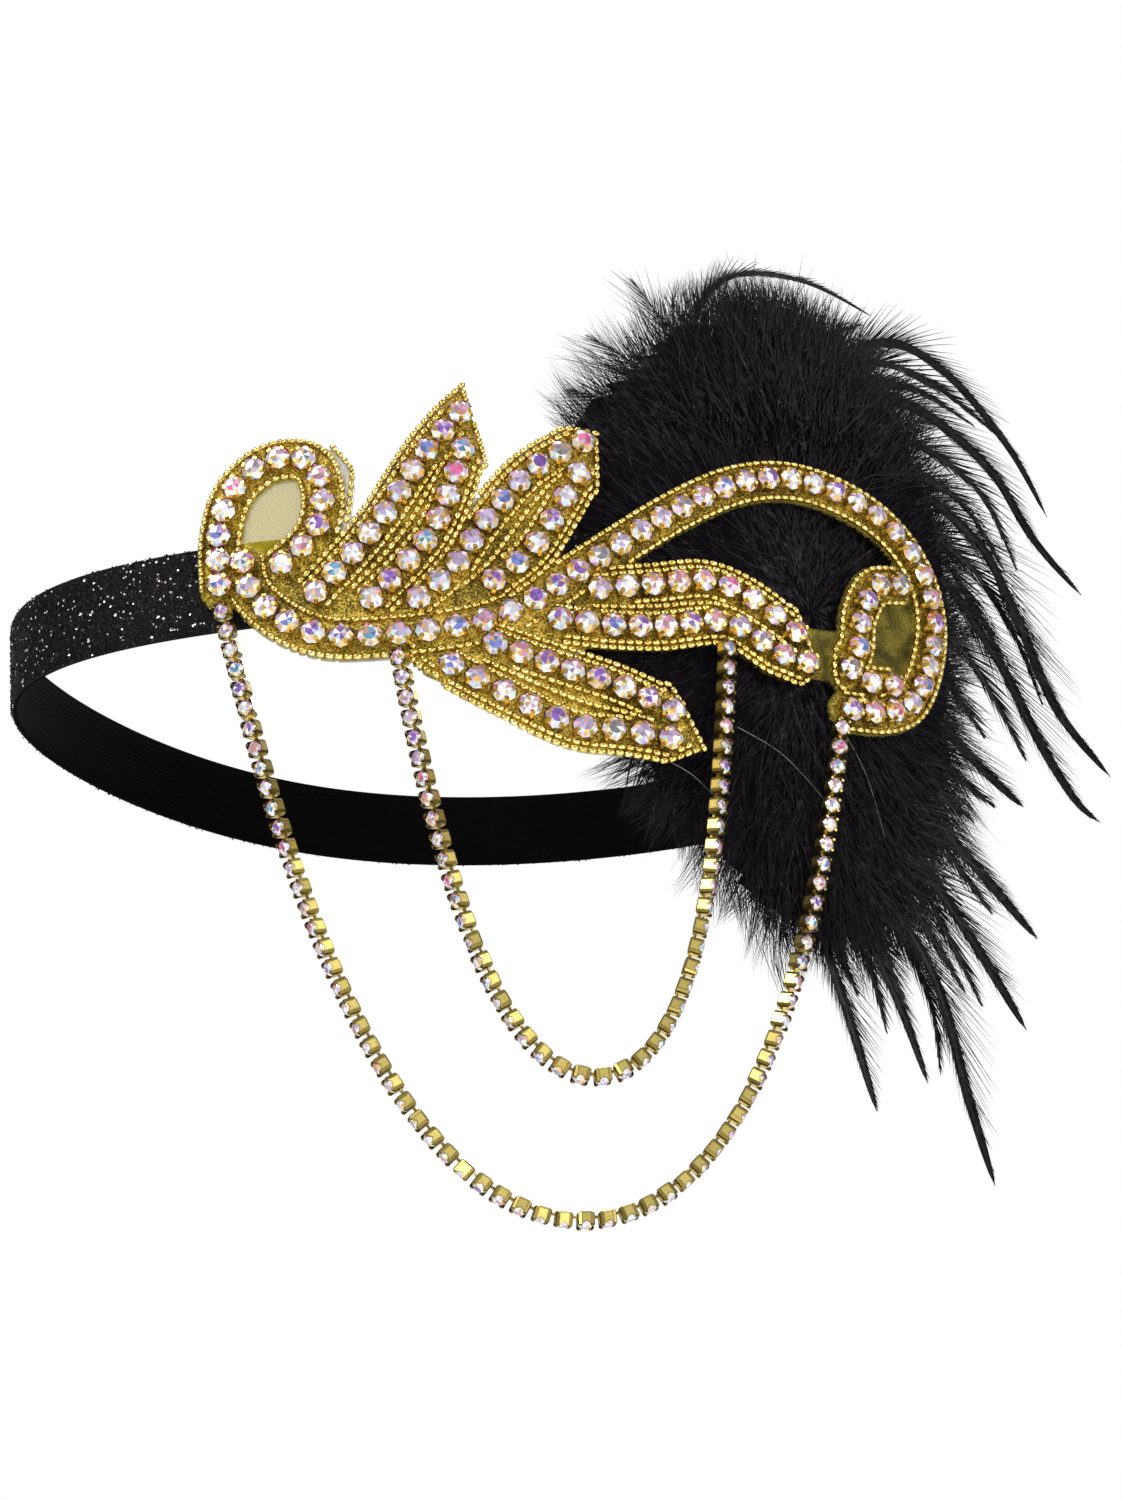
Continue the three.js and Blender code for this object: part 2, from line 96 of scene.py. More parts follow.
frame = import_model()
CAD_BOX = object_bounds()
MM = 0.001

# The ornament's bend and the plume's sheet, in millimetres, as in the part's solids.
BEND_RADIUS = 175
BEND_AXIS = (-17, 95)
NET_MARGIN = 4.3
NET_TOP = 0.45
STONE_PITCH = 5.1
STONE_LIFT = 0.85
SETTING_HEIGHT = 1.4
CHAIN_PITCH = 3.9
PLUME_STRAIGHT_FROM = 110
PLUME_BEHIND = 5
DOWN_HOLLOW = 1.6

# The upward direction, the direction that lifts a point off the plume's sheet, how many points a
# smooth curve has between two given ones, and the steps, in millimetres, over which directions of
# quills and strands are measured.
UPRIGHT = np.array([0, 0, 1.0])
LIFTED = np.array([0, 0, 1.0])
SPAN_STEPS = 40
BARB_NUDGE = 0.4
STRAND_NUDGE = 0.5

# Starts of the random draws.
SEEDS = {
    "flakes": 41,
    "stones": 7,
    "stone_tints": 11,
    "chains": 23,
    "chain_tints": 31,
    "hackles": 5,
    "down": 17,
}

# The band: points between two of its solid's, rows of faces over its width, its rounded edge as a
# share of its thickness, how squarely a glitter face looks outwards, and the angle, in degrees,
# above which an edge is sharp.
BAND_STEPS = 4
BAND_ROWS = 4
BAND_EDGE = 0.3
BAND_FACING = 0.2
BAND_SHARP = 40

# The net, in millimetres: its grid, how far it is sunk below the solid's top, its thickness, how
# far thread covers it round rows and leaves, and the fade from thread to bare net, from and over.
# Its flat map is in units of 100 mm.
NET_STEP = 0.8
NET_ACROSS = (-32, 124)
NET_UPWARD = (-43, 40)
NET_SUNK = 0.05
NET_THICKNESS = 0.9
ROW_COVER = 3.9
LEAF_COVER = 3.4
BARE_FROM = 0.2
BARE_OVER = 0.5
FLAT_UNIT = 0.01

# Rows of stones along the stem, the arch and the curls. Each point is (along the bend, up).
SCROLL_ROWS = {
    "left_curl": [
        (-25.8, -1), (-25.6, 8.8), (-22.6, 17.6), (-15.7, 22.8),
        (-8.3, 22), (-6, 15), (-8, 7.2), (-14, 1.8),
    ],
    "stem": [
        (-21.3, 3), (-20, -3), (-14.2, -9.3), (-6.3, -13.2),
        (4.6, -13.9), (16.6, -13.1), (24.7, -11.3), (31.8, -8),
    ],
    "arch": [
        (36, -5.2), (48.2, 3.1), (61, 11.4), (73.8, 17.8), (86, 20), (98, 18), (108, 13.2),
        (114.6, 5.5), (116.6, -4.3), (114, -14.2), (108.8, -22.5), (101.7, -26), (93.4, -26.5),
    ],
    "right_curl": [
        (108.6, 1.5), (102.5, 0), (98.3, -6.3), (96.8, -12.8),
        (94.1, -18.5), (98.7, -20.4), (103.8, -20.3),
    ],
}

# Leaves: the tip and the two rows of stones that run from the tip to the stem.
LEAVES = {
    "leaf_1": {
        "tip": (20.9, 36.6),
        "upper": [(20.2, 30), (13.4, 22.2), (5, 9.7), (-1.6, 1.9), (-8, -4.5)],
        "lower": [(20.3, 22.5), (17, 13), (12, 3.7), (2, -6.6)],
    },
    "leaf_2": {
        "tip": (46, 26.5),
        "upper": [(43, 24), (32.7, 18), (23, 7), (17.4, -1.2), (10.5, -7.1)],
        "lower": [(41.7, 17.5), (37, 9.6), (31.6, 1.7), (24.4, -4.1)],
    },
    "leaf_3": {
        "tip": (87, -18.8),
        "upper": [(82.6, -12), (74, -6.1), (65.4, -3.2), (55.2, -4.5), (44, -5.8)],
        "lower": [(84.4, -18), (78, -16.4), (68.4, -11.3), (55, -13), (45, -13), (36, -12)],
    },
    "leaf_4": {
        "tip": (62, -36.6),
        "upper": [(56, -29.5), (46.2, -25), (34.7, -21), (23.8, -16.7)],
        "lower": [(55, -35), (46.8, -33.8), (36.6, -32.4), (24.8, -26), (15.8, -20.4)],
    },
}

# Lines of beads: two round each leaf, as distances outside its rows and how far the line is pulled
# in at the tip, one inside each row of a leaf and one on each side of the other rows.
LEAF_EDGE_LINES = ((4.15, 0.06), (2.9, 0.3))
LEAF_INNER_LINE = -2.85
ROW_SIDE_LINE = 3.6

# Beads as shares of their width: the least distance to a stone's rim and between two middles, and
# how high the middle is above the net.
BEAD_TO_STONE = 0.4
BEAD_TO_BEAD = 0.92
BEAD_LIFT = 0.42

# Plain net inside the curls, beside the left curl, between leaf 3 and the right curl and round the
# leaves' bases: level sections of (up, from, to).
NET_PANELS = {
    "left_window": [(0, -23, -13), (8, -25, -7), (16, -24, -7), (22, -18, -9)],
    "left_side": [(5, -7, -3), (10, -6, -1.2), (16, -5, -0.2), (20, -6, 0), (24.5, -8, -3)],
    "right_window": [(-24, 95, 108), (-18, 96, 112), (-10, 98, 115), (-2, 101, 115), (5, 107, 113)],
    "bridge": [(-20.5, 85, 95), (-16.5, 80, 98), (-10.3, 82, 99)],
    "leaf_bases": [(-10.5, -7, 27), (-6.5, -13, 30), (-2, -15, 31), (2, -14, 27)],
    "leaf_fork": [(-19.5, 27, 34), (-16.5, 26, 43), (-12, 26, 45)],
    "leaf_root": [
        (-24, 15.5, 23), (-21.7, 11, 24), (-19.6, 8.6, 24), (-17.5, 7.4, 24), (-14.5, 9, 24),
    ],
}
SEWN_PANELS = ("leaf_bases", "leaf_fork", "leaf_root")

# Swags: both ends on the ornament, the number of cups and how far the cups turn away from the
# front, in degrees, at the start, at the lowest point and at the end. The turn eases over a share
# of the length, and the hanging curve's scale is found by halving between two bounds. Last is the
# size of the link between two cups.
SWAGS = {
    "chain_outer": {"start": (-25.6, -4.6), "end": (90.6, -28.9), "cups": 65, "turn": (26, 84, 2)},
    "chain_inner": {"start": (6.3, -16.9), "end": (67.8, -15), "cups": 47, "turn": (30, 80, 24)},
}
SWAG_TURN_SHARE = 0.36
SWAG_BOUND = 40
SWAG_HALVINGS = 60
LINK_SIZE = (1.2, 0.5, 0.4)

# The down's body in level sections: (up, from, to, front, back at the left, back at the right).
DOWN_SECTIONS = [
    (63, 74, 94, 0, 3.5, 4.5),
    (58, 64, 106, -3, 5, 8),
    (48, 54, 119, -4, 5, 10),
    (38, 45, 126, -3, 5, 12),
    (30, 41, 129, 1.4, 4, 12),
    (20, 41, 130, 1.4, 3.4, 13),
    (12, 44, 131, 1.4, 2.1, 13),
    (0, 50, 131, 1.4, 2.1, 13),
    (-12, 47, 129, 1.4, 2.1, 13),
    (-22, 45, 126, 1.6, 3.4, 12),
    (-32, 47, 125, 2, 4.8, 12),
    (-41, 49, 124, 3, 6, 11),
    (-50, 57, 119, 3, 6.5, 11),
    (-60, 64, 113, 3, 6.5, 10),
    (-68, 71, 104, 3.2, 6.5, 9),
    (-73, 80, 95, 4, 6, 7),
]

# Hackles from the root to the tip: each point is (along, up, lift), and the width is the blade's.
HACKLES = [
    (9, [(84, 6, 0), (94, 42, 1), (114, 57, 3), (131, 55, 3), (148, 42, 2), (158, 28, 1)]),
    (10, [(87, -2, -0.5), (104, 37, 0), (121, 46, 1), (141, 36, 2), (153, 22, 1), (166, 12, 0)]),
    (11, [(92, -2, -1), (118, 26, -1), (136, 19, 1), (144, 3, 2), (152, -16, 2), (167, -28, 0)]),
    (11, [(96, -10, -2), (124, 10, -2), (138, -5, 0), (148, -23, 0), (157, -34, -1), (163, -38, -1)]),
    (9, [(99, -17, -3), (119, -19, -2), (131, -30, -1), (143, -37, -2)]),
    (10, [(93, -26, -2), (114, -40, -1), (125, -51, 0), (140, -65, 0)]),
    (10, [(91, -31, -1.5), (107, -47, -1), (120, -65, 1), (133, -84, 1)]),
    (10, [(88, -35, -1), (101, -57, -1), (111, -76, 1), (115, -99, 2), (119, -115, 2)]),
    (8, [(85, -39, -2), (95, -62, -2), (102, -81, 0), (107, -96, 0)]),
    (8, [(82, -39, -1), (86, -66, -1), (90, -85, 0), (94, -102, 0)]),
    (3.6, [(76, 32, 0), (70, 53, 1), (78, 65, 2), (95, 67, 3), (113, 63, 3)]),
]

# Downy locks that stand out of the plume's edge, from inside the down to their tips.
LOCKS = [
    (11, [(62, 32, 2), (52, 35, 2.5), (42, 37, 2.5)]),
    (11, [(64, 38, 2), (55, 44, 2.5), (47, 49, 2)]),
    (10, [(68, 46, 1), (62, 55, 2), (57, 62, 2)]),
    (10, [(80, 48, 1), (78, 60, 2), (76, 69, 2)]),
    (11, [(96, 46, 0), (103, 57, 2), (111, 61, 2)]),
    (12, [(110, 36, -2), (122, 42, 0), (132, 44, 1)]),
    (12, [(114, 4, -4), (126, 6, -2), (137, 2, -1)]),
    (12, [(112, -28, -4), (122, -36, -2), (131, -44, -1)]),
    (11, [(104, -48, -2), (111, -62, 0), (118, -73, 1)]),
    (11, [(90, -54, -2), (93, -70, -1), (95, -83, 0)]),
    (11, [(78, -54, -2), (76, -70, -1.5), (77, -82, -1)]),
    (10, [(70, -48, -1.5), (63, -62, -1.5), (60, -70, -1.5)]),
    (10, [(66, -40, -1), (56, -46, -1), (48, -51, -1)]),
]
FEATHERED_LOCKS = LOCKS[:3] + LOCKS[4:6]
LOOSE_LOCKS = LOCKS[3:]
PLUME_ROOT = (88, -6)

# How far inside the down's edges its dense core ends: levels, then margins. Where a margin is below
# zero, above and below the band, the core fills the corners between the leaves.
CORE_LEFT = (
    (-60, -36, -24, -18, -7, -6, 6, 7, 18, 26, 42),
    (7, 3.5, -1, -6, -6.5, 0, 0, -4.5, -2.5, 0, 8),
)
CORE_RIGHT = ((-50, -20, 26, 42), (4, 2, 2, 8))

# A hackle's outline at shares of its length, as shares of its width: (share, half-width of the dark
# blade, reach of the barbs on the outer side, reach on the inner side). Then the steps along the
# quill and its half-thickness at the root and at the tip, in millimetres.
HACKLE_OUTLINE = [
    (0, 0.06, 0.8, 0.7),
    (0.15, 0.08, 0.95, 0.85),
    (0.4, 0.1, 0.9, 0.72),
    (0.65, 0.13, 0.66, 0.5),
    (0.82, 0.13, 0.4, 0.3),
    (0.93, 0.1, 0.2, 0.15),
    (0.98, 0.06, 0.08, 0.08),
    (1, 0.005, 0.03, 0.03),
]
QUILL_STEPS = 40
QUILL_THICKNESS = (0.3, 0.06)

# Barbs: their angles to the quill at shares of its length, in degrees, the angle at which the
# reaches above are measured, and how often a new group begins. The sets are a fine web on both
# sides and longer single barbs: (side, spacing, reach, thickness), the last three as factors.
BARB_SHARES = (0, 0.4, 0.7, 1)
BARB_ANGLES = (36, 27, 19, 12)
BARB_REACH_ANGLE = 33
BARB_GROUP_CHANCE = 0.12
BARB_SEGMENTS = 4
BARB_SETS = ((1, 1, 0.7, 1), (-1, 1, 0.7, 1), (1, 3, 1.08, 1.2), (-1, 4, 1.05, 1.1))

# How barbs vary: a group's lean and a barb's own stray, in degrees, the lift off the sheet as middle
# and spread, the lean's part in lift and in length, the spread of lengths, the bend towards the tip
# and at random, and the twist of a barb's face.
BARB_LEAN = 2.2
BARB_STRAY = 0.7
BARB_LIFT = (0.03, 0.03)
BARB_LEAN_LIFT = 0.05
BARB_LEAN_LENGTH = 0.06
BARB_LENGTHS = 0.05
BARB_BENDS = (0.1, 0.02)
BARB_TWIST = 0.15

# Shorter hackles between two that fan out side by side: the place between the two and the share of
# their length, then the points of its path, the range of its lift, and the factors of the barbs'
# pitch and of the dark blade's width.
FAN = HACKLES[:10]
COMPANIONS = ((0.3, 0.8), (0.68, 0.68))
COMPANION_POINTS = 6
COMPANION_LIFTS = (-1.5, 0.5)
COMPANION_PITCH = 1.7
COMPANION_DARK = 0.4

# Small feathers on the locks, as factors of the lock's width and of the barbs' pitch, with the
# factor of the dark blade's width and the barbs' thickness.
LOCK_FEATHER_WIDTH = 0.8
LOCK_FEATHER_PITCH = 1.6
LOCK_FEATHER_DARK = 0.04
LOCK_FEATHER_THICK = 0.24

# The down's core: its rings, how far above the bottom and below the top it ends, and its depth as a
# share of the down's. Its left edge becomes uneven between two levels, by so much.
CORE_LEVELS = 80
CORE_SIDES = 40
CORE_SHORT_BELOW = 7
CORE_SHORT_ABOVE = 12
CORE_DEPTH = 0.9
UNEVEN_LEVELS = (28, 34)
UNEVEN_BY = 1.4

# Loose strands: the share on the front face, how far up and down the net covers them, their lengths
# and widths, how far they start inside the left edge and towards the plume's root, as shares, how
# much they stray from the fan, curl, twist and taper, and their lift off the sheet, in the open as
# middle and spread, and behind the net.
FRONT_SHARE = 0.65
NET_REACH = 26
STRAND_LENGTHS = (7, 14)
STRAND_WIDTHS = (0.16, 0.34)
STRAND_INSET = 0.6
STRAND_PULL = 0.13
STRAND_STRAY = 0.35
STRAND_CURL = 0.12
STRAND_TWIST = 0.6
STRAND_TAPER = 0.6
OPEN_LIFT = (0.06, 0.1)
NET_LIFT = -0.05

# Wisps: two rings round the down, (inset as a share of the core's margin, size), the corner that
# the ornament hides, the strands in a wisp at levels, and how far a wisp reaches, strays from the
# fan, spreads across and in depth, gathers at its tip and curls.
WISP_RINGS = ((0, 1.0), (0.8, 0.7))
WISP_PITCH = 2.6
HIDDEN_FROM = (36, -34)
HIDDEN_TO = (80, 27)
WISP_COUNTS = ((-45, -30, 20, 35), (30, 56, 56, 26))
WISP_REACHES = (4, 12)
WISP_SHORTER = ((40, 62), (1, 0.4))
WISP_STRAY = 0.28
WISP_SPREAD = (2.1, 1.2)
WISP_ROOTS = (3, 14)
WISP_WIDTHS = (0.1, 0.2)
WISP_TIPS = (0.3, 1)
WISP_TIP_POWER = 0.7
WISP_GATHER = 0.3
WISP_CURL = 0.04

# A loose lock's strands: where they begin and how long they are, as shares of the lock's length, how
# far they spread across and in depth, as shares of its width, how much less at its tip, how far
# they gather, and their widths and curl.
LOCK_STRANDS = 36
LOCK_BEGINS = (0, 0.75)
LOCK_LENGTHS = (0.3, 0.6)
LOCK_SPREAD = (0.24, 0.12)
LOCK_NARROWS = 0.7
LOCK_GATHER = (0.45, 0.4)
LOCK_WIDTHS = (0.1, 0.22)
LOCK_CURL = 0.05

# Pale shafts of loose down feathers that lie over the plume's front: (along, up, lift). Then the
# steps along a shaft and its half-thickness at both ends.
SHAFTS = [
    [(55, -38, 3.4), (60, -41, 3.6), (65, -46, 3.4)],
    [(70, -31, 3.6), (79, -36, 3.8), (88, -45, 3.6)],
    [(92, -28, 3.8), (97, -38, 4), (100, -50, 3.8)],
    [(72, 34, 5), (69, 42, 6.5), (71, 50, 7.6)],
    [(88, 36, 5.5), (92, 44, 7), (100, 50, 7.6)],
]
SHAFT_STEPS = 12
SHAFT_THICKNESS = (0.11, 0.03)

# The stage: area lights as (name, place, size, power), the greys of the sky from below to above as
# (share of the height, grey), and the camera.
LIGHTS = [
    ("key", (-0.45, -0.75, 0.55), 0.4, 7),
    ("fill", (0.75, -0.6, 0.1), 0.4, 3),
    ("top", (0.1, 0.1, 0.8), 0.5, 4),
    ("rim", (0.3, 0.7, 0.35), 0.4, 2),
    ("glint", (0.12, -0.7, -0.25), 0.05, 1.5),
]
LIGHT_TARGET = (0.02, -0.07, 0)
SKY_GREYS = ((0.2, 0.08), (0.85, 0.5))
CAMERA_PLACE = (0.01751, -0.56376, -0.20561)
CAMERA_FORWARD = (0, 0.94495, 0.32722)
CAMERA_UP = (0.07498, -0.3263, 0.94229)

# Tints of the coated stones' facets, and how often each comes: on the table, one per stone at random;
# on the crown's upper side, painted shade and reflections; on its lower side, painted reflections.
TABLE_TINTS = [
    ((0.22, 0.1, 0.4), 15),
    ((0.16, 0.2, 0.5), 12),
    ((0.12, 0.32, 0.48), 5),
    ((0.45, 0.36, 0.52), 24),
    ((0.7, 0.7, 0.74), 18),
    ((0.56, 0.26, 0.33), 20),
    ((0.62, 0.14, 0.3), 8),
    ((0.24, 0.22, 0.24), 8),
]
UPPER_SHADE_AND_REFLECTION_TINTS = [
    ((0.46, 0.3, 0.5), 24),
    ((0.32, 0.22, 0.42), 18),
    ((0.7, 0.42, 0.46), 22),
    ((0.28, 0.28, 0.44), 12),
    ((0.58, 0.16, 0.28), 12),
    ((0.56, 0.32, 0.1), 20),
    ((0.84, 0.8, 0.86), 16),
]
LOWER_REFLECTION_TINTS = [
    ((0.88, 0.88, 0.92), 28),
    ((0.88, 0.78, 0.6), 16),
    ((0.56, 0.74, 0.86), 22),
    ((0.7, 0.42, 0.12), 26),
    ((0.58, 0.42, 0.68), 18),
]

# Stones as shares of a radius: the girdle's radius, the table's and the crown's height. The radius
# of a stone in a cup is a share of the cup's width. Then how far a facet's middle is raised, how
# squarely the table's facets and the upper ones face out and up, and how unevenly stones are set.
SET_STONE = (1.04, 0.56, 0.48)
CUP_STONE = (1, 0.55, 0.42)
CUP_STONE_WIDTH = 0.49
POKE_SHARE = 0.07
TABLE_FACING = 0.9
UPPER_FACING = 0.05
STONE_TURN = 0.12
STONE_TILT = 0.07

# How many facets on a stone's table flash in another tint, the painted shade and reflections of the
# crown's sides, and how far a tint's shade varies at random.
FLASH_SHARE = 0.3
TINT_SHADES = (0.55, 1.2)

# Glitter: how rare the bright and the faint flakes are, their colours, and a flake's outline, tilt,
# sizes and lifts off the elastic.
GROUND_BRIGHT_ABOVE = 0.99
GROUND_FAINT_ABOVE = 0.78
FLAKE_BRIGHT_ABOVE = 0.94
FLAKE_DULL_ABOVE = 0.66
FLAKE_BRIGHT = (0.75, 0.7, 0.74, 1)
FLAKE_DULL = (0.03, 0.027, 0.03, 1)
SPARKLE_TINTS = ((0, (0.8, 0.55, 0.55)), (0.4, (0.8, 0.78, 0.8)), (1, (0.55, 0.56, 0.75)))
FLAKE_OUTLINE = [(-1, -1, 0), (1, -0.8, 0), (0.8, 1, 0), (-0.9, 0.9, 0)]
FLAKE_TILT = 0.4
FLAKE_SIZES = (0.3, 0.55)
FLAKE_LIFTS = (0.00002, 0.00014)

# Places on the flat net, in units of 100 mm: the square of the band's half-width and where the plume
# begins behind the net, which bound the open part where the thread is painted lighter as if lit from
# behind, and where the window in the left curl ends, whose gauze is painted lighter as if lit from
# behind. Then that painted colour of the lit gauze and the colour of the brightest thread, and the
# weave's rate and slant.
BAND_HALF_SQUARED = 0.0076
PLUME_FROM = 0.44
LIT_WINDOW_TO = -0.03
PAINTED_LIT_GAUZE = (0.4, 0.32, 0.012)
BRIGHT_THREAD = (0.8, 0.58, 0.15)
WEAVE_RATE = 1400
WEAVE_SLANT = 0.35


class BandLook(bpy.types.PropertyGroup):
    """Sizes and colours of the elastic band."""

    width: FloatProperty(
        name="Width", description="Width of the elastic", unit="LENGTH",
        default=(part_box("glitter_band")[1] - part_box("glitter_band")[0]).z,
    )
    thickness: FloatProperty(
        name="Thickness", description="Thickness of the elastic", unit="LENGTH", default=0.0012
    )
    glitter_size: FloatProperty(
        name="Glitter", description="Size of a glitter flake", unit="LENGTH", default=0.00042
    )
    flakes: IntProperty(
        name="Flakes", description="Number of glitter flakes on the outer face", default=18000
    )
    black: FloatVectorProperty(
        name="Elastic", description="Colour of the elastic", subtype="COLOR",
        default=(0.004, 0.0035, 0.004),
    )


class OrnamentLook(bpy.types.PropertyGroup):
    """Sizes and colours of the beaded ornament."""

    bead_length: FloatProperty(
        name="Bead length", description="Length of a seed bead", unit="LENGTH", default=0.0017
    )
    bead_width: FloatProperty(
        name="Bead width", description="Width of a seed bead", unit="LENGTH", default=0.0012
    )
    stone_radius: FloatProperty(
        name="Stone", description="Radius of a set stone", unit="LENGTH", default=0.0023
    )
    gold: FloatVectorProperty(
        name="Gold", description="Colour of settings and beads", subtype="COLOR",
        default=(0.82, 0.6, 0.16),
    )
    net: FloatVectorProperty(
        name="Net", description="Colour of the bare net", subtype="COLOR",
        default=(0.29, 0.235, 0.035),
    )
    thread: FloatVectorProperty(
        name="Thread", description="Colour of the gold thread", subtype="COLOR",
        default=(0.46, 0.32, 0.035),
    )


class ChainLook(bpy.types.PropertyGroup):
    """Sizes and colours of the cup chains."""

    cup_width: FloatProperty(
        name="Cup", description="Width of a cup", unit="LENGTH", default=0.0031
    )
    cup_depth: FloatProperty(
        name="Depth", description="Depth of a cup", unit="LENGTH", default=0.0024
    )
    gold: FloatVectorProperty(
        name="Gold", description="Colour of the cups", subtype="COLOR", default=(0.9, 0.69, 0.2)
    )


class PlumeLook(bpy.types.PropertyGroup):
    """Sizes and colours of the feathers."""

    barb_pitch: FloatProperty(
        name="Barb pitch", description="Distance between a hackle's barbs", unit="LENGTH",
        default=0.00044,
    )
    down_strands: IntProperty(
        name="Down", description="Number of loose strands over the down", default=22000
    )
    black: FloatVectorProperty(
        name="Feather", description="Colour of the feathers", subtype="COLOR",
        default=(0.004, 0.003, 0.0042),
    )


class StageLook(bpy.types.PropertyGroup):
    """Camera and light."""

    lens: FloatProperty(
        name="Lens", description="Focal length", unit="CAMERA", default=68.28
    )
    floor_drop: FloatProperty(
        name="Floor", description="Depth of the floor below the band", unit="LENGTH", default=0.45
    )


class Wire:
    """A socket in a material, with arithmetic that adds Math nodes."""

    def __init__(self, finish, socket):
        self.finish = finish
        self.socket = socket

    def math(self, operation, *values):
        return self.finish.node("ShaderNodeMath", {"operation": operation}, dict(enumerate(values)))

    def __add__(self, other):
        return self.math("ADD", self, other)

    def __sub__(self, other):
        return self.math("SUBTRACT", self, other)

    def __rsub__(self, other):
        return self.math("SUBTRACT", other, self)

    def __mul__(self, other):
        return self.math("MULTIPLY", self, other)

    def __gt__(self, other):
        return self.math("GREATER_THAN", self, other)

    __radd__ = __add__
    __rmul__ = __mul__


class Finish:
    """One procedural material and the nodes that feed its shader."""

    def __init__(self, name):
        self.material = bpy.data.materials.new(name)
        self.material.use_nodes = True
        self.tree = self.material.node_tree
        self.shader = self.tree.nodes["Principled BSDF"]

    def node(self, kind, settings=None, inputs=None, output=0):
        made = self.tree.nodes.new(kind)
        for key, value in (settings or {}).items():
            if key == "stops":
                self.set_stops(made.color_ramp, value)
            else:
                setattr(made, key, value)
        for key, value in (inputs or {}).items():
            self.feed(made.inputs[key], value)
        return Wire(self, made.outputs[output])

    def set_stops(self, ramp, stops):
        while len(ramp.elements) < len(stops):
            ramp.elements.new(0.5)
        for element, (place, colour) in zip(ramp.elements, stops):
            element.position = place
            element.color = (*colour, 1)

    def feed(self, socket, value):
        if isinstance(value, Wire):
            self.tree.links.new(value.socket, socket)
        else:
            socket.default_value = value

    def set(self, **values):
        for name, value in values.items():
            self.feed(self.shader.inputs[name.replace("_", " ")], value)
        return self

    def place(self):
        return self.node("ShaderNodeTexCoord", output="Object")

    def attribute(self, name, output="Fac"):
        return self.node("ShaderNodeAttribute", {"attribute_name": name}, output=output)

    def mix(self, factor, first, second):
        inputs = {"Factor": factor, 6: first, 7: second}
        return self.node("ShaderNodeMix", {"data_type": "RGBA"}, inputs, 2)

    def noise(self, scale, detail=2, vector=None, roughness=0.5):
        inputs = {"Vector": vector or self.place(), "Scale": scale, "Detail": detail}
        inputs["Roughness"] = roughness
        return self.node("ShaderNodeTexNoise", {}, inputs)

    def ramp(self, factor, *stops):
        return self.node("ShaderNodeValToRGB", {"stops": stops}, {"Fac": factor})

    def bump(self, height, distance, strength=1.0):
        inputs = {"Height": height, "Distance": distance, "Strength": strength}
        return self.node("ShaderNodeBump", {}, inputs)


def rgba(colour):
    return (*colour, 1)


def shade(colour, amount):
    return tuple(min(1.0, part * amount) for part in colour)


# Finishes.
def glitter_finish(look):
    """The elastic's outer face between the flakes, with sparks of its own."""
    finish = Finish("glitter_elastic")
    cells = {"Vector": finish.place(), "Scale": 1 / look.glitter_size}
    flake = finish.node("ShaderNodeTexVoronoi", {}, cells, "Color")
    chance = finish.node("ShaderNodeSeparateColor", {}, {"Color": flake}, "Red")
    tint = finish.node("ShaderNodeSeparateColor", {}, {"Color": flake}, "Green")
    depth = finish.node("ShaderNodeTexVoronoi", {}, cells, "Distance")
    spark = chance > GROUND_BRIGHT_ABOVE
    faint = chance > GROUND_FAINT_ABOVE
    sparkle = finish.ramp(tint, *SPARKLE_TINTS)
    ground = finish.mix(faint, rgba(look.black), rgba(shade(look.black, 2.5)))
    finish.set(Base_Color=finish.mix(spark, ground, sparkle), Metallic=spark * 0.5)
    finish.set(Roughness=0.5 - spark * 0.25, Specular_IOR_Level=0.06)
    finish.set(Normal=finish.bump(depth + chance, distance=0.0002, strength=0.7))
    return finish.material


def flake_finish(look):
    """Glitter flakes: mostly black, some grey and a few bright."""
    finish = Finish("glitter_flake")
    chance = finish.attribute("spark")
    spark = chance > FLAKE_BRIGHT_ABOVE
    dull = finish.mix(chance > FLAKE_DULL_ABOVE, rgba(shade(look.black, 0.5)), FLAKE_DULL)
    finish.set(Base_Color=finish.mix(spark, dull, FLAKE_BRIGHT), Metallic=spark * 0.6)
    finish.set(Roughness=0.45 - spark * 0.2, Specular_IOR_Level=0.12)
    return finish.material


def elastic_finish(look):
    """The elastic's plain inner face, ribbed along the band."""
    finish = Finish("plain_elastic")
    rib_inputs = {"Vector": finish.place(), "Scale": 300.0}
    ribs = finish.node("ShaderNodeTexWave", {"bands_direction": "Z"}, rib_inputs)
    dark, light = rgba(shade(look.black, 0.3)), rgba(shade(look.black, 0.7))
    colour = finish.mix(finish.noise(900.0), dark, light)
    finish.set(Base_Color=colour, Roughness=0.9, Specular_IOR_Level=0.02)
    finish.set(Normal=finish.bump(ribs, distance=0.00012, strength=0.5))
    return finish.material


